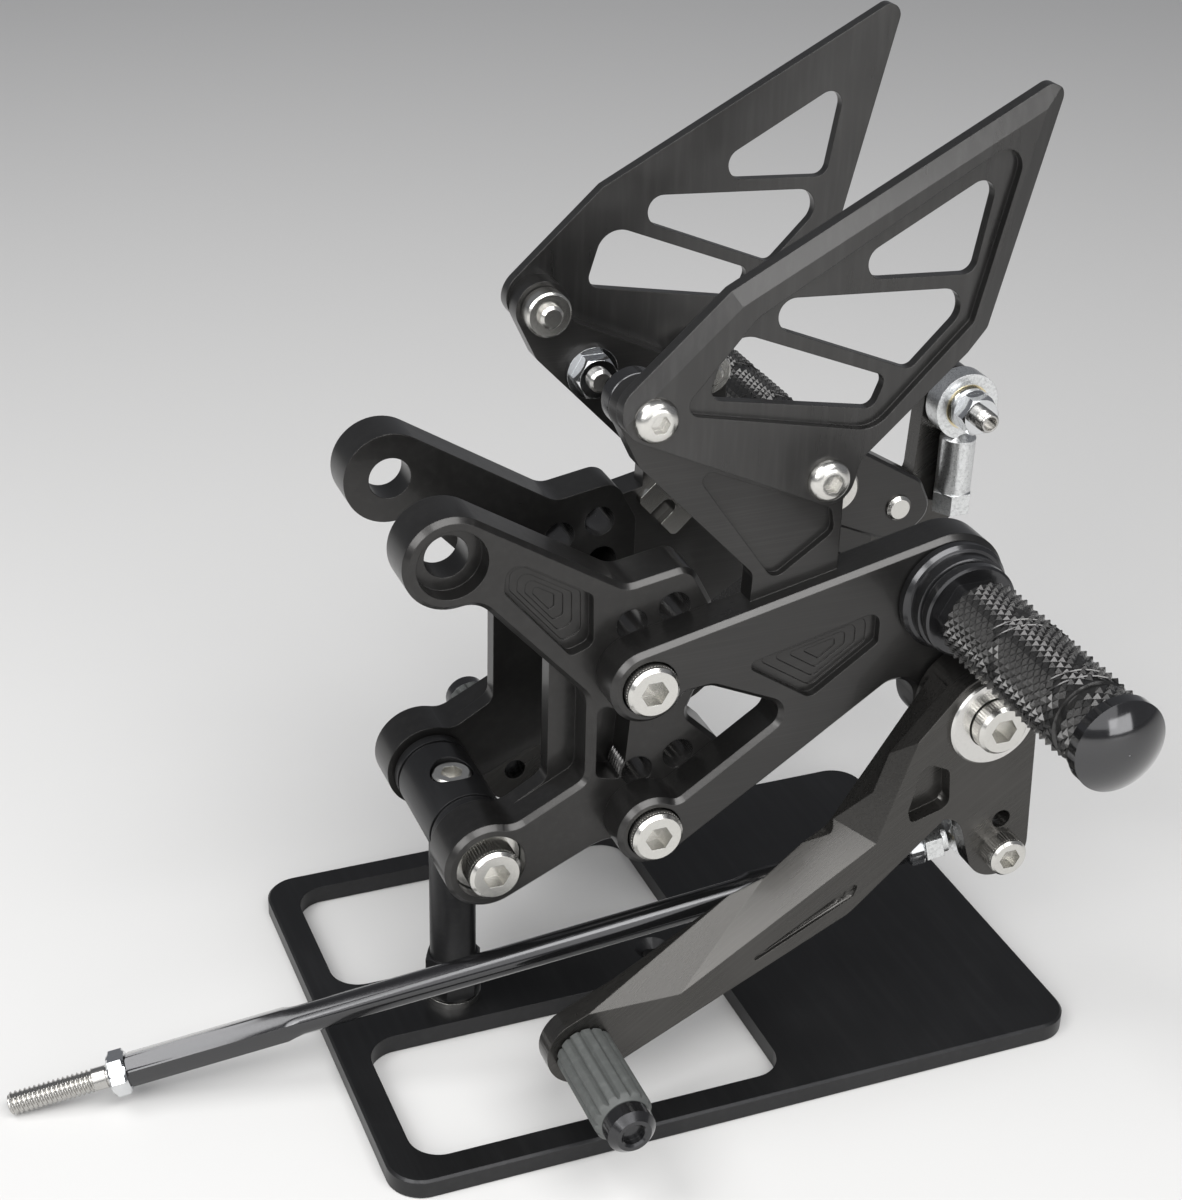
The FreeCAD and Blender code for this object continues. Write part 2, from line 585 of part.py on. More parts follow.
def guard_bolting():
    """Button-head screws through guard and arm, with round nuts on the arm's inner face."""
    screws = []
    nuts = []
    reach = GUARD_THICK + ARM_THICK + ROUND_NUT_LENGTH + 2.0
    for centre in (GUARD_BOLT_1, GUARD_BOLT_2):
        screws.append(across(button_screw(M6, reach, BUTTON_HEAD, BUTTON_RISE, 4.0), centre, GUARD_OUTER, -1))
        nut = ring(ROUND_NUT, M6, ROUND_NUT_LENGTH)
        rim = [edge for edge in nut.Edges if edge.Length > math.pi * (ROUND_NUT - 1)]
        nuts.append(across(nut.makeChamfer(0.5, rim), centre, BRACKET_OUTER, 1))
    return screws, nuts


def black_guard_bolting():
    """Front screw of the gear-shift side's guard, which ends inside a black nut as wide as the arm's boss."""
    reach = GUARD_THICK + ARM_THICK + ROUND_NUT_LENGTH - 1.0
    screw = across(button_screw(M6, reach, BUTTON_HEAD, BUTTON_RISE, 4.0), GUARD_BOLT_1, GUARD_OUTER, -1)
    nut = ring(2 * GUARD_BOSS, M6, ROUND_NUT_LENGTH)
    rim = [edge for edge in nut.Edges if edge.Length > math.pi * (2 * GUARD_BOSS - 1)]
    return screw, across(nut.makeChamfer(0.5, rim), GUARD_BOLT_1, BRACKET_OUTER, 1)


def foot_peg(name, bolt_seat):
    """Peg in three turned pieces on a cap screw from the plate's inner side, whose head rests on bolt_seat."""
    y_ring = PEG_COLLAR_LENGTH + PEG_NECK_LENGTH
    y_grip = y_ring + PEG_RING_LENGTH + 1.5
    collar = PEG_COLLAR / 2
    neck = PEG_NECK / 2
    ring_radius = PEG_RING / 2
    bore = M8 / 2
    base = turned([(bore, 0), (collar - 0.5, 0), (collar, 0.5), (collar, PEG_COLLAR_LENGTH - 1),
                   (collar - 1, PEG_COLLAR_LENGTH), (neck, PEG_COLLAR_LENGTH), (neck, y_ring),
                   (ring_radius - 0.8, y_ring), (ring_radius, y_ring + 0.8),
                   (ring_radius, y_ring + PEG_RING_LENGTH - 0.8), (ring_radius - 0.8, y_ring + PEG_RING_LENGTH),
                   (neck, y_ring + PEG_RING_LENGTH), (neck, y_grip), (bore, y_grip)])
    for side in (0, 180):
        flat = Part.makeBox(PEG_NECK, PEG_NECK, PEG_NECK_LENGTH, V(PEG_FLATS / 2, -neck, PEG_COLLAR_LENGTH))
        flat.rotate(V(0, 0, 0), V(0, 0, 1), side)
        base = base.cut(flat)
    grip = PEG_GRIP / 2
    spigot = PEG_CAP_SPIGOT / 2
    screw_room = 14.0
    socket_start = PEG_GRIP_LENGTH - 8.0
    barrel = turned([(0, screw_room), (bore, screw_room), (bore, 0), (grip - 1, 0), (grip, 1),
                     (grip, PEG_GRIP_LENGTH - 9), (grip - 0.9, PEG_GRIP_LENGTH - 8.5),
                     (grip - 0.9, PEG_GRIP_LENGTH - 6.5), (grip, PEG_GRIP_LENGTH - 6), (grip, PEG_GRIP_LENGTH - 0.6),
                     (grip - 0.6, PEG_GRIP_LENGTH), (spigot, PEG_GRIP_LENGTH), (spigot, socket_start),
                     (0, socket_start)])
    cap = fused([Part.makeCylinder(PEG_CAP / 2, PEG_CAP_RIM), Part.makeCylinder(spigot, 7.0, V(0, 0, -7.0)),
                 dome(PEG_CAP / 2, PEG_CAP_RIM, PEG_CAP_LENGTH)])
    screw = socket_screw(M8, PLATE_OUTER * -1 + bolt_seat + y_grip + screw_room - 1, M8_HEAD, 5.0, M8_SOCKET)
    return {"peg_base_" + name: across(base, PEG, PLATE_OUTER, -1),
            "peg_grip_" + name: across(barrel, PEG, PLATE_OUTER - y_grip, -1),
            "peg_cap_" + name: across(cap, PEG, PLATE_OUTER - y_grip - PEG_GRIP_LENGTH, -1),
            "peg_bolt_" + name: across(screw, PEG, bolt_seat, 1)}


def pivot_parts(name):
    """Flanged bushing, shoulder screw and thrust washer of one lever."""
    flange_top = BOSS_THICK + BUSHING_FLANGE_THICK
    head_seat = flange_top - HEAD_SUNK
    bore = SHOULDER / 2 + RUNNING_FIT
    sink = M8_HEAD / 2 + CLEARANCE
    bushing = turned([(bore, 0.2), (BUSHING / 2, 0.2), (BUSHING / 2, BOSS_THICK), (BUSHING_FLANGE / 2, BOSS_THICK),
                      (BUSHING_FLANGE / 2, flange_top - 0.5), (BUSHING_FLANGE / 2 - 0.5, flange_top),
                      (sink, flange_top), (sink, head_seat - THRUST_GAP), (bore, head_seat - THRUST_GAP)])
    screw = socket_screw(M8, head_seat + THRUST_WASHER + PLATE_THICK - 1, M8_HEAD, M8, M8_SOCKET)
    sleeve = Part.makeCylinder(SHOULDER / 2, head_seat + THRUST_WASHER, V(0, 0, -head_seat - THRUST_WASHER))
    washer = ring(22.0, SHOULDER + CLEARANCE, THRUST_WASHER - THRUST_GAP)
    return {name + "_bushing": across(bushing, PIVOT, LEVER_INNER, -1),
            name + "_pivot_bolt": across(fused([screw, sleeve]), PIVOT, LEVER_INNER - head_seat, -1),
            name + "_thrust_washer": across(washer, PIVOT, PLATE_OUTER, -1)}


def toe_peg(name, toe, thread):
    """Pin with a collar, fluted sleeve and end cap at the tip of a lever, screwed in by the length thread."""
    pin_radius = M6 / 2
    collar = TOE_PIN_COLLAR / 2
    length = TOE_COLLAR_LENGTH + TOE_SLEEVE_LENGTH + TOE_CAP_LENGTH - 3.0
    pin = turned([(0, 0.5 - thread), (pin_radius, 0.5 - thread), (pin_radius, 0), (collar, 0),
                  (collar, TOE_COLLAR_LENGTH - 0.6), (collar - 0.6, TOE_COLLAR_LENGTH),
                  (pin_radius, TOE_COLLAR_LENGTH), (pin_radius, length), (0, length)])
    sleeve = ring(TOE_SLEEVE, M6, TOE_SLEEVE_LENGTH)
    flutes = []
    for k in range(TOE_FLUTES):
        angle = 2 * math.pi * k / TOE_FLUTES
        reach = TOE_SLEEVE / 2 + TOE_FLUTE * 0.35
        flutes.append(Part.makeCylinder(TOE_FLUTE / 2 * 1.2, TOE_SLEEVE_LENGTH + 2,
                                        V(reach * math.cos(angle), reach * math.sin(angle), -1)))
    sleeve = sleeve.cut(flutes)
    cap_radius = TOE_CAP / 2
    cap_floor = TOE_CAP_LENGTH - 3.0
    cap = turned([(0, cap_floor), (pin_radius, cap_floor), (pin_radius, 0), (cap_radius, 0),
                  (cap_radius, TOE_CAP_LENGTH - 1.5), (cap_radius - 1.5, TOE_CAP_LENGTH),
                  (TOE_CAP_HOLE / 2, TOE_CAP_LENGTH), (TOE_CAP_HOLE / 2, TOE_CAP_LENGTH - 2.0),
                  (0, TOE_CAP_LENGTH - 2.0)])
    y_sleeve = LEVER_OUTER - TOE_COLLAR_LENGTH
    return {name + "_toe_pin": across(pin, toe, LEVER_OUTER, -1),
            name + "_toe_sleeve": across(sleeve, toe, y_sleeve, -1),
            name + "_toe_cap": across(cap, toe, y_sleeve - TOE_SLEEVE_LENGTH, -1)}


def above(lower_1, lower_2, upper, y_upper):
    """Space above the plane through two points of the lever's outer face and one point deeper in, on y_upper."""
    start = V(lower_1[0], LEVER_OUTER, lower_1[1])
    run = V(lower_2[0] - lower_1[0], 0, lower_2[1] - lower_1[1])
    run.normalize()
    rise = V(upper[0], y_upper, upper[1]) - start
    rise = rise - run * rise.dot(run)
    rise.normalize()
    normal = rise.cross(run)
    if normal.z < 0:
        normal = normal * -1
    reach = 3 * PIVOT[0]
    corner = start - (run + rise) * reach
    span = 2 * reach
    face = Part.Face(Part.makePolygon([corner, corner + run * span, corner + (run + rise) * span,
                                       corner + rise * span, corner]))
    return face.extrude(normal * reach)


def shift_lever():
    """Lever with a boss, a long facetted toe arm and a short thin arm for the link rod."""
    boss = BOSS / 2
    heel = near(PIVOT, -39.9, -40.9, 10.0)
    arm = [(*PIVOT, boss), near(PIVOT, -38.5, -27.6, -4.0), (*TOE, TOE_END / 2), heel]
    short_arm = [(*PIVOT, boss), heel, near(PIVOT, -11.0, -33.8, -7.0), (*LEVER_EYE, LEVER_EYE_END / 2)]
    eye_inner = LEVER_OUTER + EYE_ARM_THICK
    long_arm = slab(belt(arm), LEVER_OUTER, LEVER_ARM_INNER)

    bend_x = PIVOT[0] - 36.0
    toe_x = TOE[0] + TOE_END / 2
    toe_inner = LEVER_OUTER + TOE_THICK
    beyond = toe_x - 2 * TOE_END
    taper = [V(bend_x, LEVER_ARM_INNER, 0), V(toe_x, toe_inner, 0), V(beyond, toe_inner, 0), V(beyond, LEVER_INNER, 0),
             V(bend_x, LEVER_INNER, 0), V(bend_x, LEVER_ARM_INNER, 0)]
    long_arm = long_arm.cut(Part.Face(Part.makePolygon(taper)).extrude(V(0, 0, PIVOT[1])))

    y_edge = LEVER_ARM_INNER - LEVER_EDGE
    boss_end = near(PIVOT, -18.5, 9.4)
    bend_low = near(PIVOT, -28.5, -29.9)
    bend_high = near(PIVOT, -34.0, -28.7)
    toe_low = near(TOE, 24.9, 10.5)
    toe_high = near(TOE, 21.0, 19.8)
    tip = near(TOE, 5.1, 10.8)
    upper_facet = above(boss_end, bend_low, bend_high, y_edge)
    middle_facet = above(bend_low, toe_low, bend_high, y_edge)
    toe_facet = above(toe_low, tip, toe_high, toe_inner - LEVER_EDGE)
    long_arm = long_arm.cut(upper_facet.common(middle_facet).common(toe_facet))

    body = fused([long_arm, slab(belt(short_arm), LEVER_OUTER, eye_inner), disc(PIVOT, BOSS, LEVER_OUTER, LEVER_INNER)])
    web = [near(PIVOT, -17.5, -9.0, 2.5), near(PIVOT, -20.5, -22.5, 1.5), near(PIVOT, -19.5, -26.0, 1.5),
           near(PIVOT, -9.0, -23.0, 3), near(PIVOT, -10.0, -12.5, 2.5)]
    groove = [near(TOE, 30.9, 8.4, 0.6), near(TOE, 70.3, 28.4, 1.5), near(TOE, 72.4, 33.5, 1.0)]
    second_hole = near(LEVER_EYE, 0, 8.3)
    cutters = [disc(PIVOT, BUSHING, LEVER_OUTER - 1, LEVER_INNER + 1),
               disc(TOE, M6, LEVER_OUTER - 1, LEVER_ARM_INNER + 1),
               disc(LEVER_EYE, M6, LEVER_OUTER - 1, eye_inner + 1),
               disc(second_hole, M6 - 1, LEVER_OUTER - 1, eye_inner + 1),
               prism(web, LEVER_OUTER - 1, LEVER_OUTER + 4.0)]
    cutters.extend(stepped_pocket(groove, LEVER_OUTER, 0.8, 2))
    return body.cut(cutters)


def brake_pedal():
    """Pedal with a boss, a toe arm and a rear arm up to the brake rod end, drawn on the gear-shift side."""
    boss = BOSS / 2
    arm = [(*PIVOT, boss), near(PIVOT, -36.0, -12.0, -14.0), (*BRAKE_TOE, TOE_END / 2), near(PIVOT, -38.0, -34.0, 10.0)]
    rear = [(*PIVOT, boss), near(PIVOT, 38.0, 8.0, 9.0), (*BRAKE_EYE, LEVER_EYE_END / 2), near(PIVOT, 25.0, 19.0, -6.0)]
    rear_outer = LEVER_ARM_INNER - BRAKE_ARM_THICK
    body = fused([slab(belt(arm), LEVER_OUTER, LEVER_ARM_INNER), slab(belt(rear), rear_outer, LEVER_ARM_INNER),
                  disc(PIVOT, BOSS, LEVER_OUTER, LEVER_INNER)])
    body = body.makeChamfer(0.8, edges_at(body, LEVER_OUTER))
    return body.cut([disc(PIVOT, BUSHING, LEVER_OUTER - 1, LEVER_INNER + 1),
                     disc(BRAKE_TOE, M6, LEVER_OUTER - 1, LEVER_ARM_INNER + 1),
                     disc(BRAKE_EYE, M6, rear_outer - 1, LEVER_ARM_INNER + 1)])


def rod_end(eye, thick, shank, foot_start, foot_end, thread, bore):
    """Female rod end about its ball centre: eye across Y, shank and hexagon foot down Z, bored by thread deep."""
    neck = eye / 2 - 1.5
    flare = 2.0
    body = fused([Part.makeCylinder(eye / 2, thick, V(0, -thick / 2, 0), V(0, 1, 0)),
                  Part.makeCone(thick / 2, shank / 2, flare, V(0, 0, neck)),
                  Part.makeCylinder(shank / 2, foot_start - neck - flare, V(0, 0, neck + flare)),
                  hexagon(ROD_HEX, foot_start, foot_end)])
    hole = Part.makeCylinder(bore / 2, thread, V(0, 0, foot_end - thread))
    return body.cut([Part.makeSphere(BALL / 2 + RUNNING_FIT), hole])


def ball(width):
    """Ball of a rod end, flat on both sides and bored along Y to turn on its screw."""
    half = (width - THRUST_GAP) / 2
    sphere = Part.makeSphere(BALL / 2).common(Part.makeBox(BALL, 2 * half, BALL, V(-BALL / 2, -half, -BALL / 2)))
    return sphere.cut(Part.makeCylinder(M6 / 2 + RUNNING_FIT, width + 2, V(0, -half - 1, 0), V(0, 1, 0)))


def along_rod(shape):
    """Lay a part built down Z along the link rod, tilted down to the floor and inward."""
    centre = V(LEVER_EYE[0], ball_centre_y(), LEVER_EYE[1])
    laid = shape.copy()
    laid.rotate(V(0, 0, 0), V(0, 1, 0), -90)
    laid.rotate(V(0, 0, 0), V(0, 0, 1), -ROD_SWING)
    laid.rotate(V(0, 0, 0), V(0, 1, 0), -ROD_DROP)
    laid.translate(centre)
    return laid


def ball_centre_y():
    """Middle of the link rod's ball, against the inner side of the lever's short arm."""
    return LEVER_OUTER + EYE_ARM_THICK + BALL_WIDTH / 2


def link_rod():
    """Rod end, studs, jam nuts and the rod, whose middle is turned round from hexagon bar."""
    start = ROD_FOOT_END + JAM_NUT
    stop = start + LINK_LENGTH
    corner = LINK_HEX / math.sqrt(3)
    slim = LINK_ROUND / 2
    waist_start = start + LINK_HEX_END
    waist_stop = stop - LINK_HEX_END
    lathe = turned([(0, start), (corner - 0.5, start), (corner, start + 0.5), (corner, waist_start - LINK_TAPER),
                    (slim, waist_start), (slim, waist_stop), (corner, waist_stop + LINK_TAPER),
                    (corner, stop - 0.5), (corner - 0.5, stop), (0, stop)])
    bar = hexagon(LINK_HEX, start, stop).common(lathe)
    core = M6_CORE / 2
    bar = bar.cut([Part.makeCylinder(core, STUD_IN + 1, V(0, 0, start)),
                   Part.makeCylinder(core, STUD_IN + 1, V(0, 0, stop - STUD_IN - 1))])
    thread_room = 6.0
    stud_start = ROD_FOOT_END - thread_room + 0.5
    inner_stud = turned([(0, stud_start), (core, stud_start), (core, start + STUD_IN), (0, start + STUD_IN)])
    stud_end = stop + JAM_NUT + STUD_OUT
    nut_face = stop + JAM_NUT
    outer_stud = turned([(0, stop - STUD_IN), (core, stop - STUD_IN), (core, nut_face), (M6 / 2, nut_face),
                         (M6 / 2, stud_end - 0.7), (M6 / 2 - 0.7, stud_end), (0, stud_end)])
    nuts = []
    for height in (ROD_FOOT_END, stop):
        nut = hex_nut(ROD_HEX, JAM_NUT, M6_CORE)
        nut.translate(V(0, 0, height))
        nuts.append(along_rod(nut))
    end = rod_end(ROD_EYE, ROD_EYE_THICK, ROD_SHANK, ROD_FOOT_START, ROD_FOOT_END, thread_room, M6_CORE)
    export("rod_end_body", along_rod(end))
    export("link_rod", along_rod(bar))
    export("rod_stud_inner", along_rod(inner_stud))
    export("rod_stud_outer", along_rod(outer_stud))
    export("rod_jam_nuts", *nuts)
    lever_ball = ball(BALL_WIDTH)
    lever_ball.translate(V(LEVER_EYE[0], ball_centre_y(), LEVER_EYE[1]))
    export("rod_end_ball", lever_ball)
    ball_back = ball_centre_y() + BALL_WIDTH / 2
    reach = ball_back + M6 - 0.5 - LEVER_OUTER
    export("rod_end_bolt", across(socket_screw(M6, reach, M6_HEAD, M6, M6_SOCKET), LEVER_EYE, LEVER_OUTER, -1))
    export("rod_end_nut", across(hex_nut(10.0, 5.0, M6), LEVER_EYE, ball_back, 1))


def brake_link():
    """Rod end that hangs from the pedal's rear arm, with its screw, washer and flange nut."""
    pedal_face = -LEVER_ARM_INNER
    centre_y = pedal_face - EYE_WASHER - BRAKE_BALL_WIDTH / 2
    end = rod_end(ROD_EYE + 2.0, ROD_EYE_THICK, ROD_SHANK + 1.0, BRAKE_FOOT_START, BRAKE_FOOT_END, BRAKE_THREAD, M6)
    end.rotate(V(0, 0, 0), V(0, 1, 0), 180)
    end.translate(V(BRAKE_EYE[0], centre_y, BRAKE_EYE[1]))
    export("brake_rod_end", end)
    middle = ball(BRAKE_BALL_WIDTH)
    middle.translate(V(BRAKE_EYE[0], centre_y, BRAKE_EYE[1]))
    export("brake_rod_ball", middle)
    export("brake_rod_washer", across(ring(11.0, M6, EYE_WASHER), BRAKE_EYE, pedal_face, -1))
    nut_face = centre_y - BRAKE_BALL_WIDTH / 2
    flange = fused([ring(12.0, M6, 1.5), hex_nut(10.0, 6.0, M6)])
    export("brake_rod_nut", across(flange, BRAKE_EYE, nut_face, -1))
    head_seat = pedal_face + BRAKE_ARM_THICK
    reach = head_seat - nut_face + 6.0 + 2.5
    export("brake_rod_bolt", across(socket_screw(M6, reach, M6_HEAD, M6, M6_SOCKET), BRAKE_EYE, head_seat, 1))


def brake_side_parts():
    """Stop plate under the right peg bolt, notched stay, and the stud with its flange nut."""
    inner = -BRACKET_OUTER
    plate = [near(PEG, -6.0, -9.0, 6), near(PEG, -9.0, 6.0, 8), near(PEG, 8.0, 9.0, 6), near(STOP_PIN_AT, 6.5, 7.2, 5),
             near(STOP_PIN_AT, 11.0, -2.5, 6), near(STOP_PIN_AT, 1.2, -11.5, 4)]
    stop = prism(plate, inner - STOP_THICK, inner)
    stop = stop.makeChamfer(0.8, edges_at(stop, inner - STOP_THICK))
    export("stop_plate", stop.cut([disc(PEG, M8 + CLEARANCE, inner - STOP_THICK - 1, inner + 1),
                                   disc(STOP_PIN_AT, STOP_PIN, inner - STOP_THICK - 1, inner + 1)]))
    pin = turned([(0, 0), (STOP_PIN / 2 - 0.6, 0), (STOP_PIN / 2, 0.6), (STOP_PIN / 2, STOP_THICK + 0.6),
                  (STOP_PIN / 2 - 0.8, STOP_THICK + 1.4), (0, STOP_THICK + 1.4)])
    export("stop_pin", across(pin, STOP_PIN_AT, inner, -1))

    fork = [near(STAY_SCREW_AT, -14.5, -2.8, 1.5), near(STAY_SCREW_AT, -3.9, -14.5, 1.5),
            near(STAY_SCREW_AT, 7.5, -3.0, 4), near(STAY_SCREW_AT, -3.0, 7.8, 4)]
    notch_end = (STAY_SCREW_AT[0] - 6.2, STAY_SCREW_AT[1] - 5.8)
    notch = Part.makeBox(14.0, STAY_THICK + 2, 4.6, V(0, -1 - STAY_THICK, -2.3))
    notch.rotate(V(0, 0, 0), V(0, 1, 0), 137.8)
    notch.translate(V(notch_end[0], inner, notch_end[1]))
    stay = prism(fork, inner - STAY_THICK, inner)
    export("switch_stay", stay.cut([notch, disc(notch_end, 4.6, inner - STAY_THICK - 1, inner + 1),
                                    disc(STAY_SCREW_AT, M6, inner - STAY_THICK - 1, inner + 1)]))
    screw = button_screw(M6, STAY_THICK + ARM_THICK - 0.5, BUTTON_HEAD, BUTTON_RISE, 4.0)
    export("stay_screw", across(screw, STAY_SCREW_AT, inner - STAY_THICK, -1))

    flange_nut = fused([ring(STUD_FLANGE, M6, 1.8), hex_nut(10.0, 6.0, M6)])
    export("stud_nut", across(flange_nut, STUD_NUT_AT, inner, -1))
    stud = turned([(0, 0), (M6 / 2, 0), (M6 / 2, ARM_THICK + 7.3), (M6 / 2 - 0.7, ARM_THICK + 8.0), (0, ARM_THICK + 8.0)])
    export("arm_stud", across(stud, STUD_NUT_AT, inner + ARM_THICK, -1))


def export_pair(name, left, right=None):
    """Write the gear-shift side's piece and its brake-side copy."""
    export(name + "_left", left)
    export(name + "_right", mirrored(right or left))


stand()
export_pair("frame_bracket", frame_bracket())
tube_washer, tube_bolt = tube_bolting()
export("tube_washers", tube_washer, mirrored(tube_washer))
export("tube_bolts", tube_bolt, mirrored(tube_bolt))

export_pair("main_plate", main_plate([]), main_plate([STAY_SCREW_AT, STUD_NUT_AT]))
plate_screws = []
bolt_reach = PLATE_THICK - PLATE_BOLT_SINK + BRACKET_THICK - 1
for bolt_at in (UPPER_BOLT, LOWER_BOLT):
    plate_screw = socket_screw(M8, bolt_reach, M8_HEAD, M8, M8_SOCKET)
    plate_screws.append(across(plate_screw, bolt_at, PLATE_OUTER + PLATE_BOLT_SINK, -1))
export("plate_bolts", *plate_screws, *[mirrored(item) for item in plate_screws])

export_pair("heel_guard", heel_guard())
guard_screws, guard_nuts = guard_bolting()
black_screw, black_nut = black_guard_bolting()
export("guard_bolts", black_screw, guard_screws[1], *[mirrored(item) for item in guard_screws])
export("guard_nuts", guard_nuts[1], *[mirrored(item) for item in guard_nuts])
export("guard_black_nut", black_nut)

for piece, solid in foot_peg("left", BRACKET_OUTER).items():
    export(piece, solid)
for piece, solid in foot_peg("right", BRACKET_OUTER + STOP_THICK).items():
    export(piece, mirrored(solid))

for piece, solid in {**pivot_parts("shift"), **toe_peg("shift", TOE, TOE_THICK)}.items():
    export(piece, solid)
for piece, solid in {**pivot_parts("brake"), **toe_peg("brake", BRAKE_TOE, LEVER_ARM_INNER - LEVER_OUTER)}.items():
    export(piece, mirrored(solid))
export("shift_lever", shift_lever())
export("brake_pedal", mirrored(brake_pedal()))
link_rod()
brake_link()
brake_side_parts()
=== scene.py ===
import bmesh
import bpy
import math
from mathutils import Matrix, Vector


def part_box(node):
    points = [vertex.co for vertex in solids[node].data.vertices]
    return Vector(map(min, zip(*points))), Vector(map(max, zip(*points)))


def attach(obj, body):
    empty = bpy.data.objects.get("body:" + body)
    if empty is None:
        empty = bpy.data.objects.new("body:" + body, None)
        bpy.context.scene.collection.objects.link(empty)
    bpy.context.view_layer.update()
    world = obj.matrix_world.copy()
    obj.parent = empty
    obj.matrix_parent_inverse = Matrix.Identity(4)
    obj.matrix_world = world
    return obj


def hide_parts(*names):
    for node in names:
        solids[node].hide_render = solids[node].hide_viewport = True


# Rear set footrests on their display stand: black anodised aluminium with stainless and zinc hardware.
# Metres, in the frame of the solids: +X to the rear, -Y to the gear lever's side, +Z up. What is turned or
# grown here is drawn in millimetres about Z, and a matrix sets it in its place.

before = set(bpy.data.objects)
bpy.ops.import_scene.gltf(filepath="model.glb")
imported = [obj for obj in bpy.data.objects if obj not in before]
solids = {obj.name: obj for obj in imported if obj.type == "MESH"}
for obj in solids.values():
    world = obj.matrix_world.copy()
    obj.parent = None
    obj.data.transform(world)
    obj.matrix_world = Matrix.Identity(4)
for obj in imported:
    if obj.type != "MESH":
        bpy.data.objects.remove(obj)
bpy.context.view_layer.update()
MM = 0.001


# Wires and nodes, for the materials and for the geometry trees

class Wire:
    """A number on a wire, so that a pattern or a place reads as a plain expression."""

    def __init__(self, owner, socket):
        self.owner = owner
        self.socket = socket

    def maths(self, operation, *others):
        return Wire(self.owner, self.owner.node("ShaderNodeMath", {"operation": operation}, self, *others))

    def __add__(self, other):
        return self.maths("ADD", other)

    def __mul__(self, other):
        return self.maths("MULTIPLY", other)

    def __sub__(self, other):
        return self.maths("SUBTRACT", other)

    def __rsub__(self, other):
        return self * -1 + other

    def __truediv__(self, other):
        return self.maths("DIVIDE", other)

    __radd__ = __add__
    __rmul__ = __mul__

    def fade(self, low, high):
        """0 below low and 1 above high, with a soft step between."""
        settings = {"interpolation_type": "SMOOTHSTEP"}
        return Wire(self.owner, self.owner.node("ShaderNodeMapRange", settings, self, low, high))


class Nodes:
    """A node tree that grows by one method."""

    def __init__(self, tree):
        self.tree = tree

    def feed(self, socket, value):
        """Link a wire or an output to a socket, or set the socket to a plain value."""
        if isinstance(value, Wire):
            value = value.socket
        if isinstance(value, bpy.types.NodeSocket):
            self.tree.links.new(value, socket)
        else:
            socket.default_value = value

    def node(self, kind, settings=None, *values, out=0, **named):
        """Output of a new node: its settings go first, then its sockets by place or by name."""
        made = self.tree.nodes.new(kind)
        for key, value in (settings or {}).items():
            setattr(made, key, value)
        for socket, value in zip(made.inputs, values):
            self.feed(socket, value)
        for key, value in named.items():
            self.feed(made.inputs[key.replace("_", " ")], value)
        return made.outputs[out]


class Paint(Nodes):
    """One procedural material."""

    def __init__(self, name, colour, roughness, metallic=0.0, coat=0.0):
        self.material = bpy.data.materials.new(name)
        self.material.use_nodes = True
        super().__init__(self.material.node_tree)
        self.shader = self.tree.nodes["Principled BSDF"]
        self.colour = colour
        self.set("Base Color", (*colour, 1))
        self.set("Roughness", roughness)
        self.set("Metallic", metallic)
        self.set("Coat Weight", coat)
        self.set("Coat Roughness", 0.08)

    def set(self, socket, value):
        self.feed(self.shader.inputs[socket], value)

    def noise(self, per_mm, detail=3.0, stretch=(1, 1, 1), turn=(0, 0, 0)):
        """Noise over Object coordinates that are turned, brought to millimetres and stretched."""
        where = self.node("ShaderNodeTexCoord", None, out=3)
        turned = self.node("ShaderNodeMapping", None, where, Rotation=turn)
        place = self.node("ShaderNodeMapping", None, turned, Scale=[s / MM for s in stretch])
        grain = self.node("ShaderNodeTexNoise", None, place, Scale=per_mm, Detail=detail, Roughness=0.6)
        return Wire(self, grain)

    def mottle(self, other, mask):
        """Base colour that goes from the paint's own to another one where the mask is 1."""
        mixed = self.tree.nodes.new("ShaderNodeMix")
        mixed.data_type = "RGBA"
        self.feed(mixed.inputs[0], mask)
        self.feed(mixed.inputs[6], (*self.colour, 1))
        self.feed(mixed.inputs[7], (*other, 1))
        self.set("Base Color", mixed.outputs[2])

    def relief(self, height, depth_mm, edge_mm=0.0):
        """Bump from a height wire, over edges that look rounded to a radius."""
        under = {}
        if edge_mm:
            under["Normal"] = self.node("ShaderNodeBevel", {"samples": 4}, edge_mm * MM)
        bump = self.node("ShaderNodeBump", Strength=1.0, Distance=depth_mm * MM, Height=height, **under)
        self.set("Normal", bump)


# Finishes

def anodised(name, colour, roughness, brush, depth=0.004, edge=0.35, coat=0.15):
    """Black anodised aluminium, brushed along the axis that its grain is slowest on."""
    paint = Paint(name, colour, roughness, 0.85, coat)
    grain = paint.noise(1.0, 4.0, **brush)
    cloud = paint.noise(0.03, 2.0)
    paint.set("Roughness", grain * 0.12 + cloud * 0.16 + (roughness - 0.14))
    paint.mottle([c * 1.35 for c in colour], grain.fade(0.4, 0.75) * 0.5 + cloud.fade(0.45, 0.7) * 0.4)
    paint.relief(grain, depth, edge)
    return paint.material


def turned_metal(name, colour, roughness, spin, metallic=1.0, rings=0.004, coat=0.0):
    """Metal turned in a lathe, with the finest grain along the axis that has the largest number in spin."""
    paint = Paint(name, colour, roughness, metallic, coat)
    grain = paint.noise(1.6, 3.0)
    lines = paint.noise(1.0, 2.0, stretch=spin)
    paint.set("Roughness", grain * 0.06 + lines * 0.1 + (roughness - 0.08))
    paint.mottle([c * 0.93 for c in colour], grain.fade(0.4, 0.8))
    paint.relief(lines, rings, 0.12)
    return paint.material


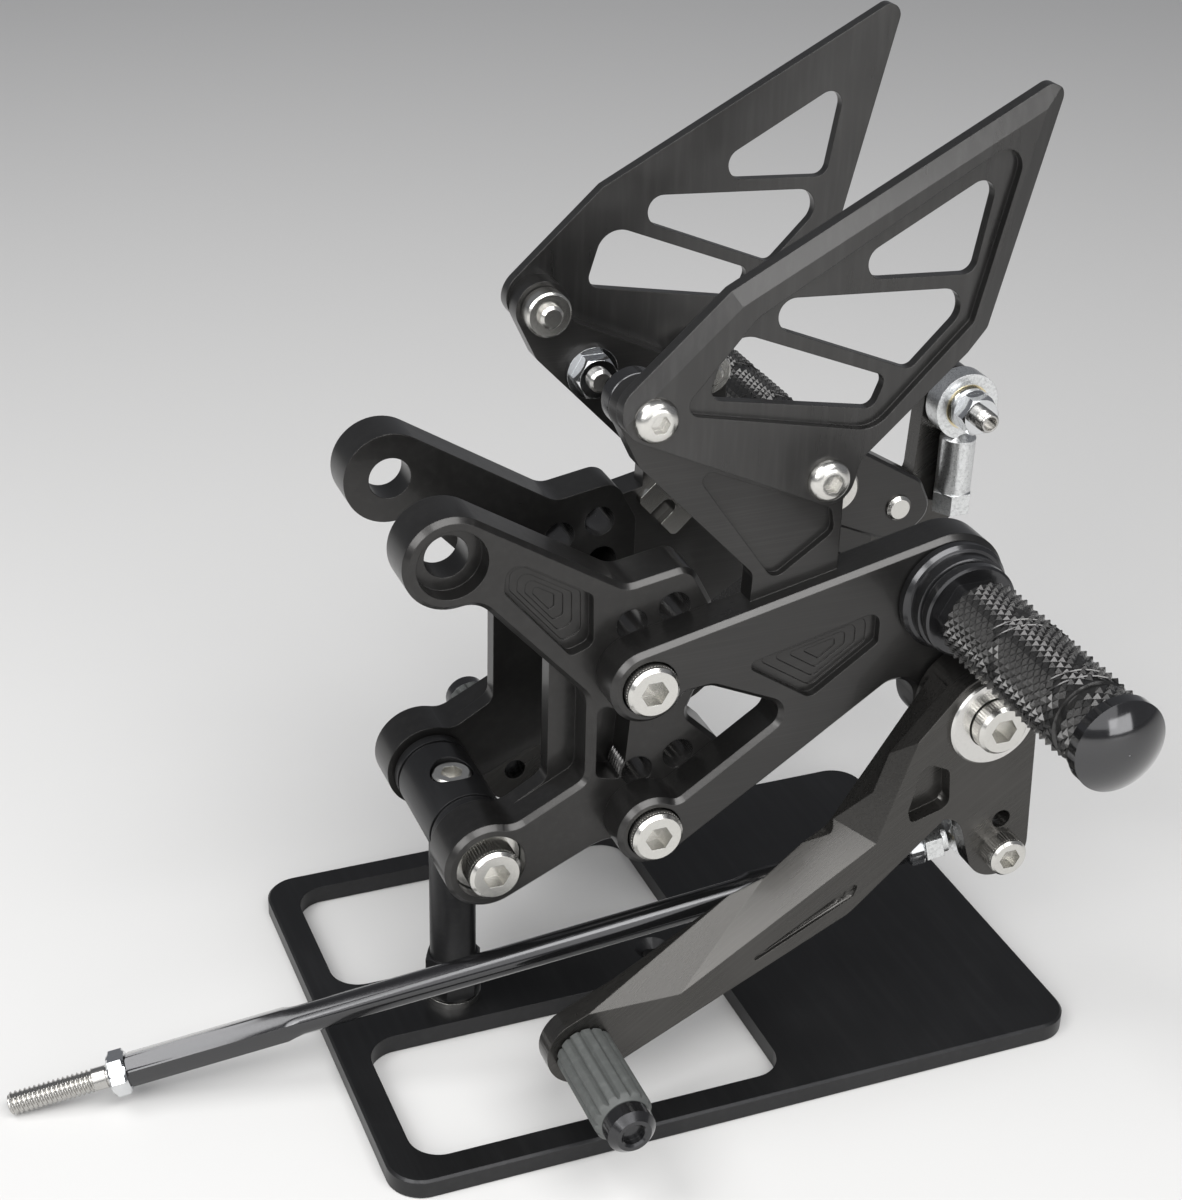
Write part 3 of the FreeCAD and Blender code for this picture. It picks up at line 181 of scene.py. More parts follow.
def cast_zinc(name, colour):
    """Bright zinc plate over a sand-cast skin."""
    paint = Paint(name, colour, 0.32, 1.0)
    lumps = paint.noise(1.1, 4.0)
    fine = paint.noise(3.0, 2.0)
    paint.set("Roughness", fine * 0.2 + 0.2)
    paint.mottle([c * 0.75 for c in colour], lumps.fade(0.42, 0.7))
    paint.relief(lumps * 0.7 + fine * 0.3, 0.1, 0.2)
    return paint.material


def moulded_rubber(name, colour):
    """Matt grey elastomer with a fine grain."""
    paint = Paint(name, colour, 0.62)
    grain = paint.noise(3.5, 3.0)
    dust = paint.noise(0.35, 4.0)
    paint.set("Roughness", grain * 0.15 + 0.52)
    paint.mottle([c * 1.5 for c in colour], dust.fade(0.45, 0.75) * 0.7)
    paint.relief(grain, 0.03, 0.15)
    return paint.material


# Grain of a finish: how fast its noise goes along x, y and z, and how far it is turned
ALONG_X = {"stretch": (0.03, 1.5, 2.5)}
ALONG_LEVER = {"stretch": (0.03, 1.2, 2.2), "turn": (0, math.radians(35), 0)}
ALONG_GUARD = {"stretch": (0.6, 0.6, 0.05)}
ALONG_STAND = {"stretch": (0.5, 0.03, 0.5)}
EVEN = {"stretch": (0.4, 0.4, 0.4)}
finish = {
    "plate": anodised("satin_black_plate", (0.043, 0.042, 0.041), 0.32, ALONG_X),
    "bracket": anodised("satin_black_bracket", (0.038, 0.037, 0.036), 0.32, EVEN),
    "guard": anodised("satin_black_guard", (0.052, 0.051, 0.05), 0.3, ALONG_GUARD),
    "lever": anodised("brushed_black_lever", (0.056, 0.054, 0.051), 0.28, ALONG_LEVER, 0.006),
    "turned_black": turned_metal("turned_black", (0.05, 0.05, 0.052), 0.24, (1, 6, 1), 0.85, 0.004, 0.3),
    "gloss_black": turned_metal("gloss_black", (0.045, 0.045, 0.047), 0.13, (1, 1, 1), 0.85, 0.001, 0.9),
    "knurl_black": anodised("knurled_black", (0.06, 0.059, 0.058), 0.24, EVEN, 0.001, 0.0),
    # Tapped threads: a lighter copy of the black anodising. The extra lightness is painted light that stands
    # in for light inside the dark holes.
    "threads_black_painted_light": anodised("tapped_black", (0.1, 0.098, 0.096), 0.26, EVEN, 0.001, 0.0),
    "stand": anodised("stand_black", (0.032, 0.032, 0.033), 0.42, ALONG_STAND, 0.004, 0.3, 0.1),
    "rod": turned_metal("rod_black", (0.045, 0.045, 0.047), 0.16, (8, 1, 1), 0.85, 0.001, 0.8),
    "stainless": turned_metal("stainless", (0.64, 0.63, 0.6), 0.24, (1, 8, 1)),
    "thread_steel": turned_metal("thread_steel", (0.5, 0.49, 0.47), 0.24, (1, 1, 1), 1.0, 0.0),
    "silver": turned_metal("bright_aluminium", (0.66, 0.65, 0.63), 0.24, (1, 8, 1)),
    "chrome": turned_metal("bright_plating", (0.68, 0.69, 0.7), 0.1, (1, 1, 1), 1.0, 0.0005),
    "zinc": cast_zinc("zinc_casting", (0.74, 0.75, 0.75)),
    "brass": turned_metal("brass_liner", (0.78, 0.68, 0.45), 0.25, (1, 4, 1)),
    "rubber": moulded_rubber("grey_sleeve", (0.075, 0.079, 0.076)),
}

# Finish of each solid
dress = {
    "stand": ["stand_base", "stand_post", "cross_tube"],
    "bracket": ["frame_bracket_left", "frame_bracket_right"],
    "plate": ["main_plate_left", "main_plate_right", "stop_plate"],
    "guard": ["heel_guard_left", "heel_guard_right"],
    "lever": ["shift_lever", "brake_pedal"],
    "turned_black": ["peg_base_left", "peg_base_right", "shift_toe_pin", "brake_toe_pin", "shift_toe_cap",
                     "brake_toe_cap", "guard_black_nut"],
    "gloss_black": ["peg_cap_left", "peg_cap_right"],
    "knurl_black": ["peg_grip_left", "peg_grip_right"],
    "rod": ["link_rod"],
    "rubber": ["shift_toe_sleeve", "brake_toe_sleeve"],
    "stainless": ["tube_screw", "tube_bolts", "tube_washers", "plate_bolts", "guard_bolts", "guard_nuts",
                  "peg_bolt_left", "peg_bolt_right", "shift_pivot_bolt", "brake_pivot_bolt", "rod_end_bolt",
                  "stay_screw", "switch_stay", "stop_pin", "shift_thrust_washer", "brake_thrust_washer",
                  "post_lock_washer"],
    "thread_steel": ["rod_stud_inner", "rod_stud_outer", "brake_rod_bolt", "arm_stud"],
    "silver": ["shift_bushing", "brake_bushing"],
    "chrome": ["rod_end_ball", "brake_rod_ball", "rod_jam_nuts", "rod_end_nut", "stud_nut",
               "brake_rod_nut", "brake_rod_washer"],
    "zinc": ["rod_end_body", "brake_rod_end"],
}
for key, names in dress.items():
    for name in names:
        slots = solids[name].data.materials
        slots.clear()
        slots.append(finish[key])


# Geometry trees, grown to plain meshes

class Tree(Nodes):
    """A geometry tree with named inputs for its sizes, in millimetres or as counts."""

    def __init__(self, name, **sizes):
        super().__init__(bpy.data.node_groups.new(name, "GeometryNodeTree"))
        ports = self.tree.interface
        ports.new_socket("Base", in_out="INPUT", socket_type="NodeSocketGeometry")
        for label, size in sizes.items():
            kind = "NodeSocketInt" if isinstance(size, int) else "NodeSocketFloat"
            ports.new_socket(label, in_out="INPUT", socket_type=kind).default_value = size
        ports.new_socket("Mesh", in_out="OUTPUT", socket_type="NodeSocketGeometry")
        self.entry = self.tree.nodes.new("NodeGroupInput")
        self.exit = self.tree.nodes.new("NodeGroupOutput")

    def size(self, label):
        return Wire(self, self.entry.outputs[label])

    def index(self):
        return Wire(self, self.node("GeometryNodeInputIndex"))

    def triple(self, x, y, z):
        return self.node("ShaderNodeCombineXYZ", None, x, y, z)

    def round_about(self, radius, angle, height):
        """Point at an angle on a circle about Z."""
        return self.triple(radius * angle.maths("COSINE"), radius * angle.maths("SINE"), height)

    def ended(self, shape, material):
        """The tree, with this shape as its output, in one material."""
        shape = self.node("GeometryNodeRealizeInstances", None, shape)
        shape = self.node("GeometryNodeSetMaterial", None, shape, Material=material)
        self.tree.links.new(shape, self.exit.inputs[0])
        return self.tree


def knurl_tree(material):
    """Pyramid teeth in staggered rows round a barrel, cut lower along a helical band."""
    tree = Tree("knurl", Radius=10.0, Start=0.0, Columns=24, Rows=40, Pitch=2.8, Tooth=0.95, Tip=0.12,
                Lead=26.0, Band=0.07, Loss=0.45)
    columns = tree.size("Columns")
    row = (tree.index() / columns).maths("FLOOR")
    column = tree.index() - row * columns
    height = row * tree.size("Pitch") * 0.5 + tree.size("Start")
    angle = (column + row * 0.5) / columns * math.tau
    # The whole turns added here keep the band's number above 0 all along the barrel
    whole_turns = 40.0
    band = (height / tree.size("Lead") - angle / math.tau + whole_turns).maths("FRACT")
    low = (band - 0.5).maths("ABSOLUTE").maths("LESS_THAN", tree.size("Band"))
    points = tree.node("GeometryNodePoints", None, columns * tree.size("Rows"),
                       tree.round_about(tree.size("Radius"), angle, height))
    tooth = tree.node("GeometryNodeMeshCone", {"fill_type": "NONE"}, Vertices=4, Radius_Top=tree.size("Tip"),
                      Radius_Bottom=tree.size("Pitch") * 0.52, Depth=tree.size("Tooth"))
    turn = tree.triple(0.0, math.pi / 2, angle)
    scale = tree.triple(1.0, 1.0, 1.0 - low * tree.size("Loss"))
    teeth = tree.node("GeometryNodeInstanceOnPoints", None, points, Instance=tooth, Rotation=turn,
                      Scale=scale)
    return tree.ended(teeth, material)


def ridge_tree(material):
    """Straight knurl of a screw head: fine upright ridges round a circle."""
    tree = Tree("head_knurl", Radius=6.5, Ridges=54, Length=5.0, Start=1.0, Ridge=0.36)
    angle = tree.index() / tree.size("Ridges") * math.tau
    middle = tree.size("Start") + tree.size("Length") * 0.5
    points = tree.node("GeometryNodePoints", None, tree.size("Ridges"),
                       tree.round_about(tree.size("Radius"), angle, middle))
    ridge = tree.node("GeometryNodeMeshCylinder", None, Vertices=4, Radius=tree.size("Ridge") * 0.5,
                      Depth=tree.size("Length"))
    turn = tree.triple(0.0, 0.0, angle)
    ring = tree.node("GeometryNodeInstanceOnPoints", None, points, Instance=ridge, Rotation=turn)
    return tree.ended(ring, material)


def score_tree(material):
    """Sharp line in relief, carried along a helix about Z."""
    tree = Tree("score", Radius=3.0, Pitch=1.0, Turns=10.0, Tooth=0.5)
    helix = tree.node("GeometryNodeCurveSpiral", None, Resolution=28, Rotations=tree.size("Turns"),
                      Start_Radius=tree.size("Radius"), End_Radius=tree.size("Radius"),
                      Height=tree.size("Turns") * tree.size("Pitch"))
    helix = tree.node("GeometryNodeSetCurveNormal", {"mode": "Z_UP"}, helix)
    profile = tree.node("GeometryNodeCurvePrimitiveCircle", None, Resolution=4, Radius=tree.size("Tooth"))
    return tree.ended(tree.node("GeometryNodeCurveToMesh", None, helix, profile), material)


def evaluated(holder):
    """Plain mesh of an object with its modifiers worked out."""
    graph = bpy.context.evaluated_depsgraph_get()
    return bpy.data.meshes.new_from_object(holder.evaluated_get(graph))


def grown(tree, **sizes):
    """Plain mesh that a tree grows."""
    holder = bpy.data.objects.new("holder", bpy.data.meshes.new("holder"))
    bpy.context.scene.collection.objects.link(holder)
    modifier = holder.modifiers.new("grow", "NODES")
    modifier.node_group = tree
    for item in tree.interface.items_tree:
        if item.in_out == "INPUT" and item.name in sizes:
            modifier[item.identifier] = sizes[item.name]
    mesh = evaluated(holder)
    bpy.data.objects.remove(holder)
    return mesh


# Turned, fluted and threaded meshes, and pieces made of them

def skin(rings):
    """Closed mesh from rings about Z, each a height and its radii all round. One radius of 0 is a pole."""
    shape = bmesh.new()
    loops = []
    for height, radii in rings:
        angles = [math.tau * k / len(radii) for k in range(len(radii))]
        loops.append([shape.verts.new((radius * math.cos(angle), radius * math.sin(angle), height))
                      for radius, angle in zip(radii, angles)])
    for first, second in zip(loops, loops[1:] + loops[:1]):
        for k in range(max(len(first), len(second))):
            corners = [first[k % len(first)], first[(k + 1) % len(first)],
                       second[(k + 1) % len(second)], second[k % len(second)]]
            corners = list(dict.fromkeys(corners))
            if len(corners) > 2:
                shape.faces.new(corners)
    bmesh.ops.recalc_face_normals(shape, faces=shape.faces)
    mesh = bpy.data.meshes.new("skin")
    shape.to_mesh(mesh)
    shape.free()
    return mesh


def lathe(profile, steps=96, flats=math.inf):
    """Mesh turned from a closed run of (radius, height) points, cut to a hexagon if flats gives its width."""
    sixth = math.tau / 6
    hexagon = [flats / 2 / math.cos(math.tau * k / steps % sixth - sixth / 2) for k in range(steps)]
    return skin([(height, [min(radius, reach) for reach in hexagon] if radius else [0.0])
                 for radius, height in profile])


def fluted(radius, bore, length, ridges, groove, collar_radius, collar_depth, steps=14):
    """Sleeve with broad ridges, cut off by a cone at its outer end and opened at 0 for a collar."""
    around = ridges * steps
    hollows = [groove * abs(math.cos(math.pi * k / steps)) ** 9 for k in range(around)]
    # Seven rings of the cone, 0.3 mm apart, that start 1.8 mm before the end and lose 0.24 mm of radius each
    cone = [(length - 1.8 + 0.3 * k, radius + 0.15 - 0.24 * k) for k in range(7)]
    rings = [(height, [min(limit, radius - hollow) for hollow in hollows])
             for height, limit in [(0.0, radius - 0.3), (0.35, radius)] + cone]
    rings += [(length, [bore] * around), (collar_depth, [bore] * around),
              (collar_depth, [collar_radius] * around), (0.0, [collar_radius] * around)]
    return skin(rings)


def screw_thread(wall, depth, pitch, length, tip=0.0, tapped=False):
    """Sleeve with a V thread that runs inward from the wall radius, or outward from it where tapped."""
    around = 40
    outward = 1 if tapped else -1
    back = wall + 0.02 if tapped else wall - depth - 0.6
    levels = round(length / pitch * 8)
    rings = [(length, [back] * around), (0.0, [back] * around)]
    for level in range(levels + 1):
        height = length * level / levels
        phases = [(height / pitch - k / around) % 1 for k in range(around)]
        radii = [wall + outward * depth * min(1.0, (1 - abs(2 * phase - 1)) * 1.25) for phase in phases]
        if tip:
            radii = [min(radius, wall - tip + length - height) for radius in radii]
        rings.append((height, radii))
    return skin(rings)


def set_at(x, y, z, direction):
    """Matrix that stands a millimetre mesh built about Z at a point, with its Z along a direction."""
    turn = Vector((0, 0, 1)).rotation_difference(Vector(direction)).to_matrix().to_4x4()
    return Matrix.Translation(Vector((x, y, z)) * MM) @ turn @ Matrix.Scale(MM, 4)


def gathered(name, body, material, placed, replaces=(), smooth=30):
    """One piece from meshes and their matrices, on a body of the frame."""
    shape = bmesh.new()
    for mesh, matrix in placed:
        copy = mesh.copy()
        copy.transform(matrix)
        shape.from_mesh(copy)
        bpy.data.meshes.remove(copy)
    mesh = bpy.data.meshes.new(name)
    shape.to_mesh(mesh)
    shape.free()
    mesh.materials.clear()
    mesh.materials.append(material)
    for face in mesh.polygons:
        face.material_index = 0
    mesh.shade_smooth()
    mesh.set_sharp_from_angle(angle=math.radians(smooth))
    piece = bpy.data.objects.new(name, mesh)
    bpy.context.scene.collection.objects.link(piece)
    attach(piece, body)
    if replaces:
        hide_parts(*replaces)


def along(height):
    """Matrix that moves a millimetre mesh up its own Z."""
    return Matrix.Translation((0, 0, height))


# Places in millimetres. Pairs are x and z, and the two sides differ by the sign of y alone.

STAND = "stand_and_plates"
PEG = (113.0, 126.0)
PIVOT = (119.0, 98.0)
UPPER_BOLT = (35.3, 114.4)
LOWER_BOLT = (38.0, 73.5)
TUBE = (0.0, 65.5)
SHIFT_TOE = (15.0, 25.0)
BRAKE_TOE = (32.5, 42.0)
LEVER_FACE = 55.5
LINK_EYE = (125.6, -45.0, 59.3)
BRAKE_EYE = (159.5, 37.5, 137.3)
# Seats of the screw heads, as distances from the middle plane
PLATE_SEAT = 35.0
TUBE_SEAT = 26.0
PIVOT_SEAT = 53.6
PEG_SEAT_LEFT = 30.0
PEG_SEAT_RIGHT = 24.0
BRAKE_SEAT = 49.0
# Where the threads of the brake rod end's screw and of the tapped rows start, by the same measure
BRAKE_THREAD = 26.9
TAPPED_THREAD = 29.95
# Height at which the cross tube is counterbored for the screw that goes down into the post
TUBE_SINK = 68.5

# Foot pegs: a turned base with a flatted neck, then a barrel with a long and a short knurled field
grip_outer, grip_inner = (abs(corner.y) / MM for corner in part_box("peg_grip_left"))
grip_length = grip_outer - grip_inner
BASE_DEPTH = 12.0
PEG_BORE = 4.0
NECK_END = 2.4
BARREL = 9.75
GROOVE = 9.0
base = lathe([(PEG_BORE, 0), (13.5, 0), (14, 0.5), (14, 2.4), (13.2, 3.3), (12.4, 3.5), (12.4, 6.8),
              (11.4, 7.1), (11.4, 7.6), (12, 8.1), (12, 10.1), (11.4, 10.5), (8.0, 10.5), (PEG_BORE, 10.5)])
neck = lathe([(PEG_BORE, -1.5), (9.0, -1.5), (9.0, NECK_END), (PEG_BORE, NECK_END)], flats=16.0)
barrel = lathe([(0, NECK_END), (9.2, NECK_END), (BARREL, 2.9), (BARREL, grip_length - 8.8),
                (GROOVE, grip_length - 8.4), (GROOVE, grip_length - 7.2), (BARREL, grip_length - 6.8),
                (BARREL, grip_length - 0.6), (9.4, grip_length - 0.2), (0, grip_length - 0.2)])
knurl = knurl_tree(finish["knurl_black"])
long_field = grown(knurl, Radius=9.8, Start=4.0, Columns=25, Rows=36, Pitch=2.52, Tooth=0.92, Lead=24.0)
short_field = grown(knurl, Radius=9.8, Start=grip_length - 5.2, Columns=22, Rows=4, Pitch=2.8, Tooth=0.9,
                    Lead=400.0)
score = grown(score_tree(finish["knurl_black"]), Radius=10.25, Pitch=24.0, Turns=1.8, Tooth=0.2)
for side, name in ((-1, "left"), (1, "right")):
    spot = set_at(PEG[0], side * grip_inner, PEG[1], (0, side, 0))
    gathered("base_" + name, STAND, finish["turned_black"], [(base, spot @ along(-BASE_DEPTH)), (neck, spot)],
             ["peg_base_" + name])
    knurled = [(mesh, spot) for mesh in (barrel, long_field, short_field)]
    scores = [(score, spot @ along(start)) for start in (3.4, 6.2)]
    gathered("grip_" + name, STAND, finish["knurl_black"], knurled + scores,
             ["peg_grip_" + name], smooth=20)

# Toe pegs: a pin with a collar, a ridged sleeve over it and a cap with a round hollow at its end
sleeve = fluted(7.3, 3.05, 26.1, 14, 0.8, 6.3, 2.15)
toe_cap = lathe([(0, 3.5), (2.75, 3.5), (2.75, 5.0), (3.3, 5.5), (4.3, 5.5), (6.0, 3.8), (6.0, 0.3), (5.7, 0),
                 (3.02, 0), (3.02, 2.55), (0, 2.55)])
toe_pin = lathe([(0, -9.4), (3.0, -9.4), (3.0, 0), (6.2, 0), (6.2, 2.5), (3.0, 2.5), (3.0, 29.0), (0, 29.0)])
toe_parts = (("sleeve", sleeve, 0.4, "rubber", "sleeve_grey"),
             ("cap", toe_cap, 26.5, "turned_black", "anodised_black"),
             ("pin", toe_pin, 0.0, "turned_black", "anodised_black"))
for side, toe, body, name in ((-1, SHIFT_TOE, "shift_lever", "shift"),
                              (1, BRAKE_TOE, "brake_pedal", "brake")):
    for part, mesh, height, paint, slot in toe_parts:
        spot = set_at(toe[0], side * (LEVER_FACE + height), toe[1], (0, side, 0))
        gathered(name + "_" + part, body, finish[paint], [(mesh, spot)], [name + "_toe_" + part])

# Brass liner rings round the balls of both rod ends. The link's rod end is turned a little about Z.
liner = lathe([(5.85, 3.0), (5.85, 3.2), (6.45, 3.2), (6.45, 3.0)])
link_yaw = Vector((0, 1, 0)).rotation_difference(Vector((0.169, 0.985, 0.0))).to_matrix().to_4x4()
link_eye = Matrix.Translation(Vector(LINK_EYE) * MM) @ link_yaw
gathered("link_liner", "link_rod", finish["brass"],
         [(liner, link_eye @ set_at(0, 0, 0, (0, side, 0))) for side in (-1, 1)])
gathered("brake_liner", "brake_rod_end", finish["brass"],
         [(liner, set_at(*BRAKE_EYE, (0, side, 0))) for side in (-1, 1)])

# Knurled sides of the cap screws: M8 heads, the low heads behind the pegs, and M6 heads
ridges = ridge_tree(finish["stainless"])
big_head = grown(ridges, Radius=6.42, Ridges=54, Length=5.6, Start=0.8, Ridge=0.42)
low_head = grown(ridges, Radius=6.42, Ridges=54, Length=3.0, Start=0.8, Ridge=0.42)
small_head = grown(ridges, Radius=4.93, Ridges=44, Length=4.0, Start=0.8, Ridge=0.36)
heads = []
seats = ((UPPER_BOLT, PLATE_SEAT), (LOWER_BOLT, PLATE_SEAT), (TUBE, TUBE_SEAT), (PIVOT, PIVOT_SEAT))
for side in (-1, 1):
    heads += [(big_head, set_at(x, side * y, z, (0, side, 0))) for (x, z), y in seats]
heads.append((low_head, set_at(PEG[0], -PEG_SEAT_LEFT, PEG[1], (0, 1, 0))))
heads.append((low_head, set_at(PEG[0], PEG_SEAT_RIGHT, PEG[1], (0, -1, 0))))
heads.append((small_head, set_at(0, 0, TUBE_SINK, (0, 0, 1))))
gathered("screw_knurls", STAND, finish["stainless"], heads)
gathered("rod_screw_knurl", "shift_lever", finish["stainless"],
         [(small_head, set_at(LINK_EYE[0], -LEVER_FACE, LINK_EYE[2], (0, -1, 0)))])
gathered("brake_screw_knurl", "brake_pedal", finish["stainless"],
         [(small_head, set_at(BRAKE_EYE[0], BRAKE_SEAT, BRAKE_EYE[2], (0, 1, 0)))])

# Link rod: a bar of 8 mm hexagon turned round between its ends, with jam nuts and a bare stud. Its places
# are distances along it from its eye.
LINK_START = 19.5
LINK_STOP = 221.5
LINK_BORE = 2.6
LINK_HEX = 8.0
LINK_ROUND = 7.4
LINK_HEX_END = 44.0
LINK_TAPER = 4.0
LINK_NUT = 4.5
NUT_FLATS = 10.0
NUT_FACE = LINK_STOP + LINK_NUT
STUD_PLAIN = 4.2
STUD_END = 251.5
STUD_CORE = 2.4
# It runs forward, inward and down from the gear lever's eye
rod_run = Vector((-0.959199, 0.171929, -0.224448))
rod_up = (Vector((0, 0, 1)) - rod_run * rod_run.z).normalized()
rod_axes = Matrix((rod_up, rod_run.cross(rod_up), rod_run)).transposed().to_4x4()
rod_frame = Matrix.Translation(Vector(LINK_EYE) * MM) @ rod_axes @ Matrix.Scale(MM, 4)
stud_core = lathe([(0, LINK_STOP - 14.5), (STUD_CORE, LINK_STOP - 14.5), (STUD_CORE, STUD_END - 0.2),
                   (0, STUD_END - 0.2)])
stud_plain = lathe([(STUD_CORE, NUT_FACE + 0.9), (2.85, NUT_FACE + 0.9), (2.85, NUT_FACE + STUD_PLAIN),
                    (STUD_CORE, NUT_FACE + STUD_PLAIN)])
stud_thread = screw_thread(3.0, 0.55, 1.2, STUD_END - NUT_FACE - STUD_PLAIN, 0.7)
stud_parts = [(stud_core, rod_frame), (stud_plain, rod_frame),
              (stud_thread, rod_frame @ along(NUT_FACE + STUD_PLAIN))]
gathered("threaded_stud", "link_rod", finish["thread_steel"], stud_parts, ["rod_stud_outer"])


def half_rod(end, toward):
    """Half of the link rod, from a hexagon end to the round middle."""
    corner = LINK_HEX / math.sqrt(3)
    slim = LINK_ROUND / 2
    middle = (LINK_START + LINK_STOP) / 2
    return lathe([(LINK_BORE, end), (corner - 0.5, end), (corner, end + toward * 0.5),
                  (corner, end + toward * (LINK_HEX_END - LINK_TAPER)), (slim, end + toward * LINK_HEX_END),
                  (slim, middle), (LINK_BORE, middle)], steps=192, flats=LINK_HEX)


gathered("hexagon_rod", "link_rod", finish["rod"],
         [(half_rod(LINK_START, 1), rod_frame @ Matrix.Rotation(math.radians(30), 4, "Z")),
          (half_rod(LINK_STOP, -1), rod_frame)], ["link_rod"])
nut = lathe([(2.55, 0), (4.75, 0), (5.78, 0.6), (5.78, LINK_NUT - 0.6), (4.75, LINK_NUT), (2.55, LINK_NUT)],
            steps=192, flats=NUT_FLATS)
nut_turn = Matrix.Rotation(math.radians(-20), 4, "Z")
gathered("hexagon_nuts", "link_rod", finish["chrome"],
         [(nut, rod_frame @ along(height) @ nut_turn) for height in (LINK_START - LINK_NUT, LINK_STOP)],
         ["rod_jam_nuts"])

# Thread on the tip of the brake rod end's screw, and threads for the tapped rows of the frame brackets
brake_tip = screw_thread(3.0, 0.45, 1.0, 4.6, 0.6)
gathered("brake_screw_thread", "brake_pedal", finish["thread_steel"],
         [(brake_tip, set_at(BRAKE_EYE[0], BRAKE_THREAD, BRAKE_EYE[2], (0, -1, 0)))])
tapped = screw_thread(3.97, 0.62, 1.25, 12.4, tapped=True)
holes = []
for x, z in (UPPER_BOLT, LOWER_BOLT):
    for dx, dz in ((-0.9, 11.7), (9.8, 14.4), (10.7, 3.1)):
        holes += [(tapped, set_at(x + dx, side * TAPPED_THREAD, z + dz, (0, -side, 0))) for side in (-1, 1)]
# These threads carry the lighter black, which is painted light inside the dark tapped holes.
gathered("tapped_threads", STAND, finish["threads_black_painted_light"], holes)


# Gear lever: three flats milled along the upper edge of its outer face, from the boss down to the toe

def added(name, shape):
    """Object of a finished bmesh."""
    mesh = bpy.data.meshes.new(name)
    shape.to_mesh(mesh)
    shape.free()
    item = bpy.data.objects.new(name, mesh)
    bpy.context.scene.collection.objects.link(item)
    return item


def milled(node, flats):
    """Copy of a solid's mesh less the space that lies above all the flats, each given by three points."""
    space = bmesh.new()
    bmesh.ops.create_cube(space, size=0.6)
    for first, second, deeper in flats:
        run = (second - first).normalized()
        rise = deeper - first
        normal = (rise - run * rise.dot(run)).cross(run).normalized()
        normal = normal if normal.z > 0 else -normal
        geometry = space.verts[:] + space.edges[:] + space.faces[:]
        cut = bmesh.ops.bisect_plane(space, geom=geometry, dist=1e-7, plane_co=first, plane_no=normal,
                                     clear_inner=True)
        rim = [item for item in cut["geom_cut"] if isinstance(item, bmesh.types.BMEdge)]
        bmesh.ops.contextual_create(space, geom=rim)
    bmesh.ops.recalc_face_normals(space, faces=space.faces)
    blank = bmesh.new()
    blank.from_mesh(solids[node].data)
    bmesh.ops.remove_doubles(blank, verts=blank.verts, dist=1e-6)
    pair = [added("blank", blank), added("cutter", space)]
    modifier = pair[0].modifiers.new("mill", "BOOLEAN")
    modifier.object = pair[1]
    modifier.operation = "DIFFERENCE"
    modifier.solver = "EXACT"
    mesh = evaluated(pair[0])
    for item in pair:
        bpy.data.objects.remove(item)
    return mesh


def lever_point(origin, dx, dz, y=-LEVER_FACE):
    """Point of the gear lever by its offset from an origin, on the outer face unless y is given."""
    return Vector((origin[0] + dx, y, origin[1] + dz)) * MM


boss_end = lever_point(PIVOT, -15.5, 10.0)
bend_low = lever_point(PIVOT, -28.5, -29.9)
bend_high = lever_point(PIVOT, -34.0, -28.7, -44.5)
toe_low = lever_point(SHIFT_TOE, 24.9, 10.5)
toe_high = lever_point(SHIFT_TOE, 21.0, 19.8, -51.0)
toe_tip = lever_point(SHIFT_TOE, 5.1, 10.8)
lever_mesh = milled("shift_lever", [(boss_end, bend_low, bend_high), (bend_low, toe_low, bend_high),
                                    (toe_low, toe_tip, toe_high)])
gathered("milled_lever", "shift_lever", finish["lever"], [(lever_mesh, Matrix())],
         ["shift_lever"], smooth=9)


# Floor, lights and camera

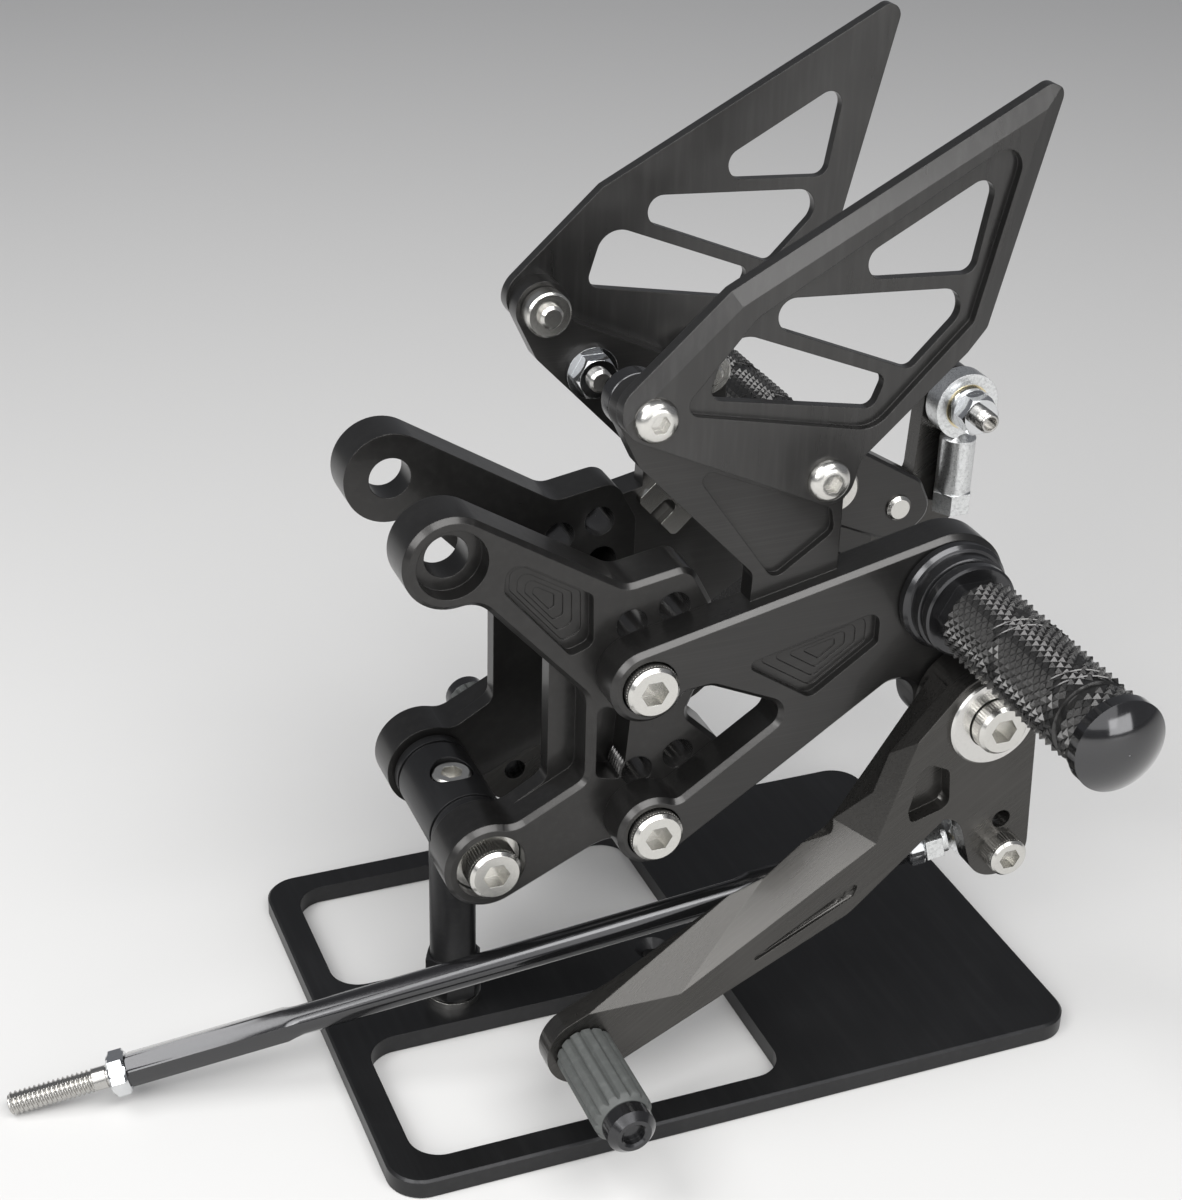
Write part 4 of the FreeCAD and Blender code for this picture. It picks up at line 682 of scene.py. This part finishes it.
floor_paint = Paint("pale_floor", (0.66, 0.655, 0.645), 0.75)
floor_paint.relief(floor_paint.noise(0.15, 2.0), 0.01)
FLOOR_REACH = 6
FLOOR_LEVEL = -0.0003
square = [(x * FLOOR_REACH, y * FLOOR_REACH, FLOOR_LEVEL) for x, y in ((-1, -1), (1, -1), (1, 1), (-1, 1))]
floor_mesh = bpy.data.meshes.new("floor")
floor_mesh.from_pydata(square, [], [(0, 1, 2, 3)])
floor_mesh.materials.append(floor_paint.material)
floor = bpy.data.objects.new("floor", floor_mesh)
bpy.context.scene.collection.objects.link(floor)

world = bpy.data.worlds.new("studio")
world.use_nodes = True
bpy.context.scene.world = world
room = world.node_tree.nodes["Background"]
room.inputs[0].default_value = (0.92, 0.94, 1.0, 1)
room.inputs[1].default_value = 0.22


def softbox(name, where, aim, width, height, watts):
    """Rectangular soft lamp at a point, turned to another."""
    data = bpy.data.lights.new(name, "AREA")
    data.shape = "RECTANGLE"
    data.size = width
    data.size_y = height
    data.energy = watts
    lamp = bpy.data.objects.new(name, data)
    lamp.location = where
    lamp.rotation_euler = (Vector(aim) - Vector(where)).to_track_quat("-Z", "Y").to_euler()
    bpy.context.scene.collection.objects.link(lamp)


softbox("overhead", (0.12, -0.72, 1.2), (0.03, 0, 0.1), 1.1, 0.55, 12)
softbox("left_fill", (-0.98, -0.72, 0.78), (0.03, 0, 0.12), 0.7, 0.6, 8)
softbox("front", (-0.35, -1.3, 0.9), (0.03, 0, 0.1), 1.9, 1.3, 10)
softbox("left_top", (-0.64, 0.0, 1.1), (0, 0, 0.05), 0.7, 0.6, 6.5)
softbox("low_right", (0.55, -1.45, 0.35), (0.03, 0, 0.05), 0.8, 0.5, 5)

# Camera fitted to the photograph, by its right, up and back directions in the frame
right = Vector((0.9300, -0.3666, 0.0248))
up = Vector((0.1548, 0.4522, 0.8784))
back = Vector((-0.33321, -0.81311, 0.47731))
turn = Matrix((right, up, back)).transposed().to_4x4()
camera_data = bpy.data.cameras.new("camera")
camera_data.sensor_width = 36
camera_data.lens = 66.9
camera = bpy.data.objects.new("camera", camera_data)
camera.matrix_world = Matrix.Translation((-0.14639, -0.44555, 0.37842)) @ turn
bpy.context.scene.collection.objects.link(camera)
bpy.context.scene.camera = camera
bpy.context.scene.view_settings.view_transform = "Standard"
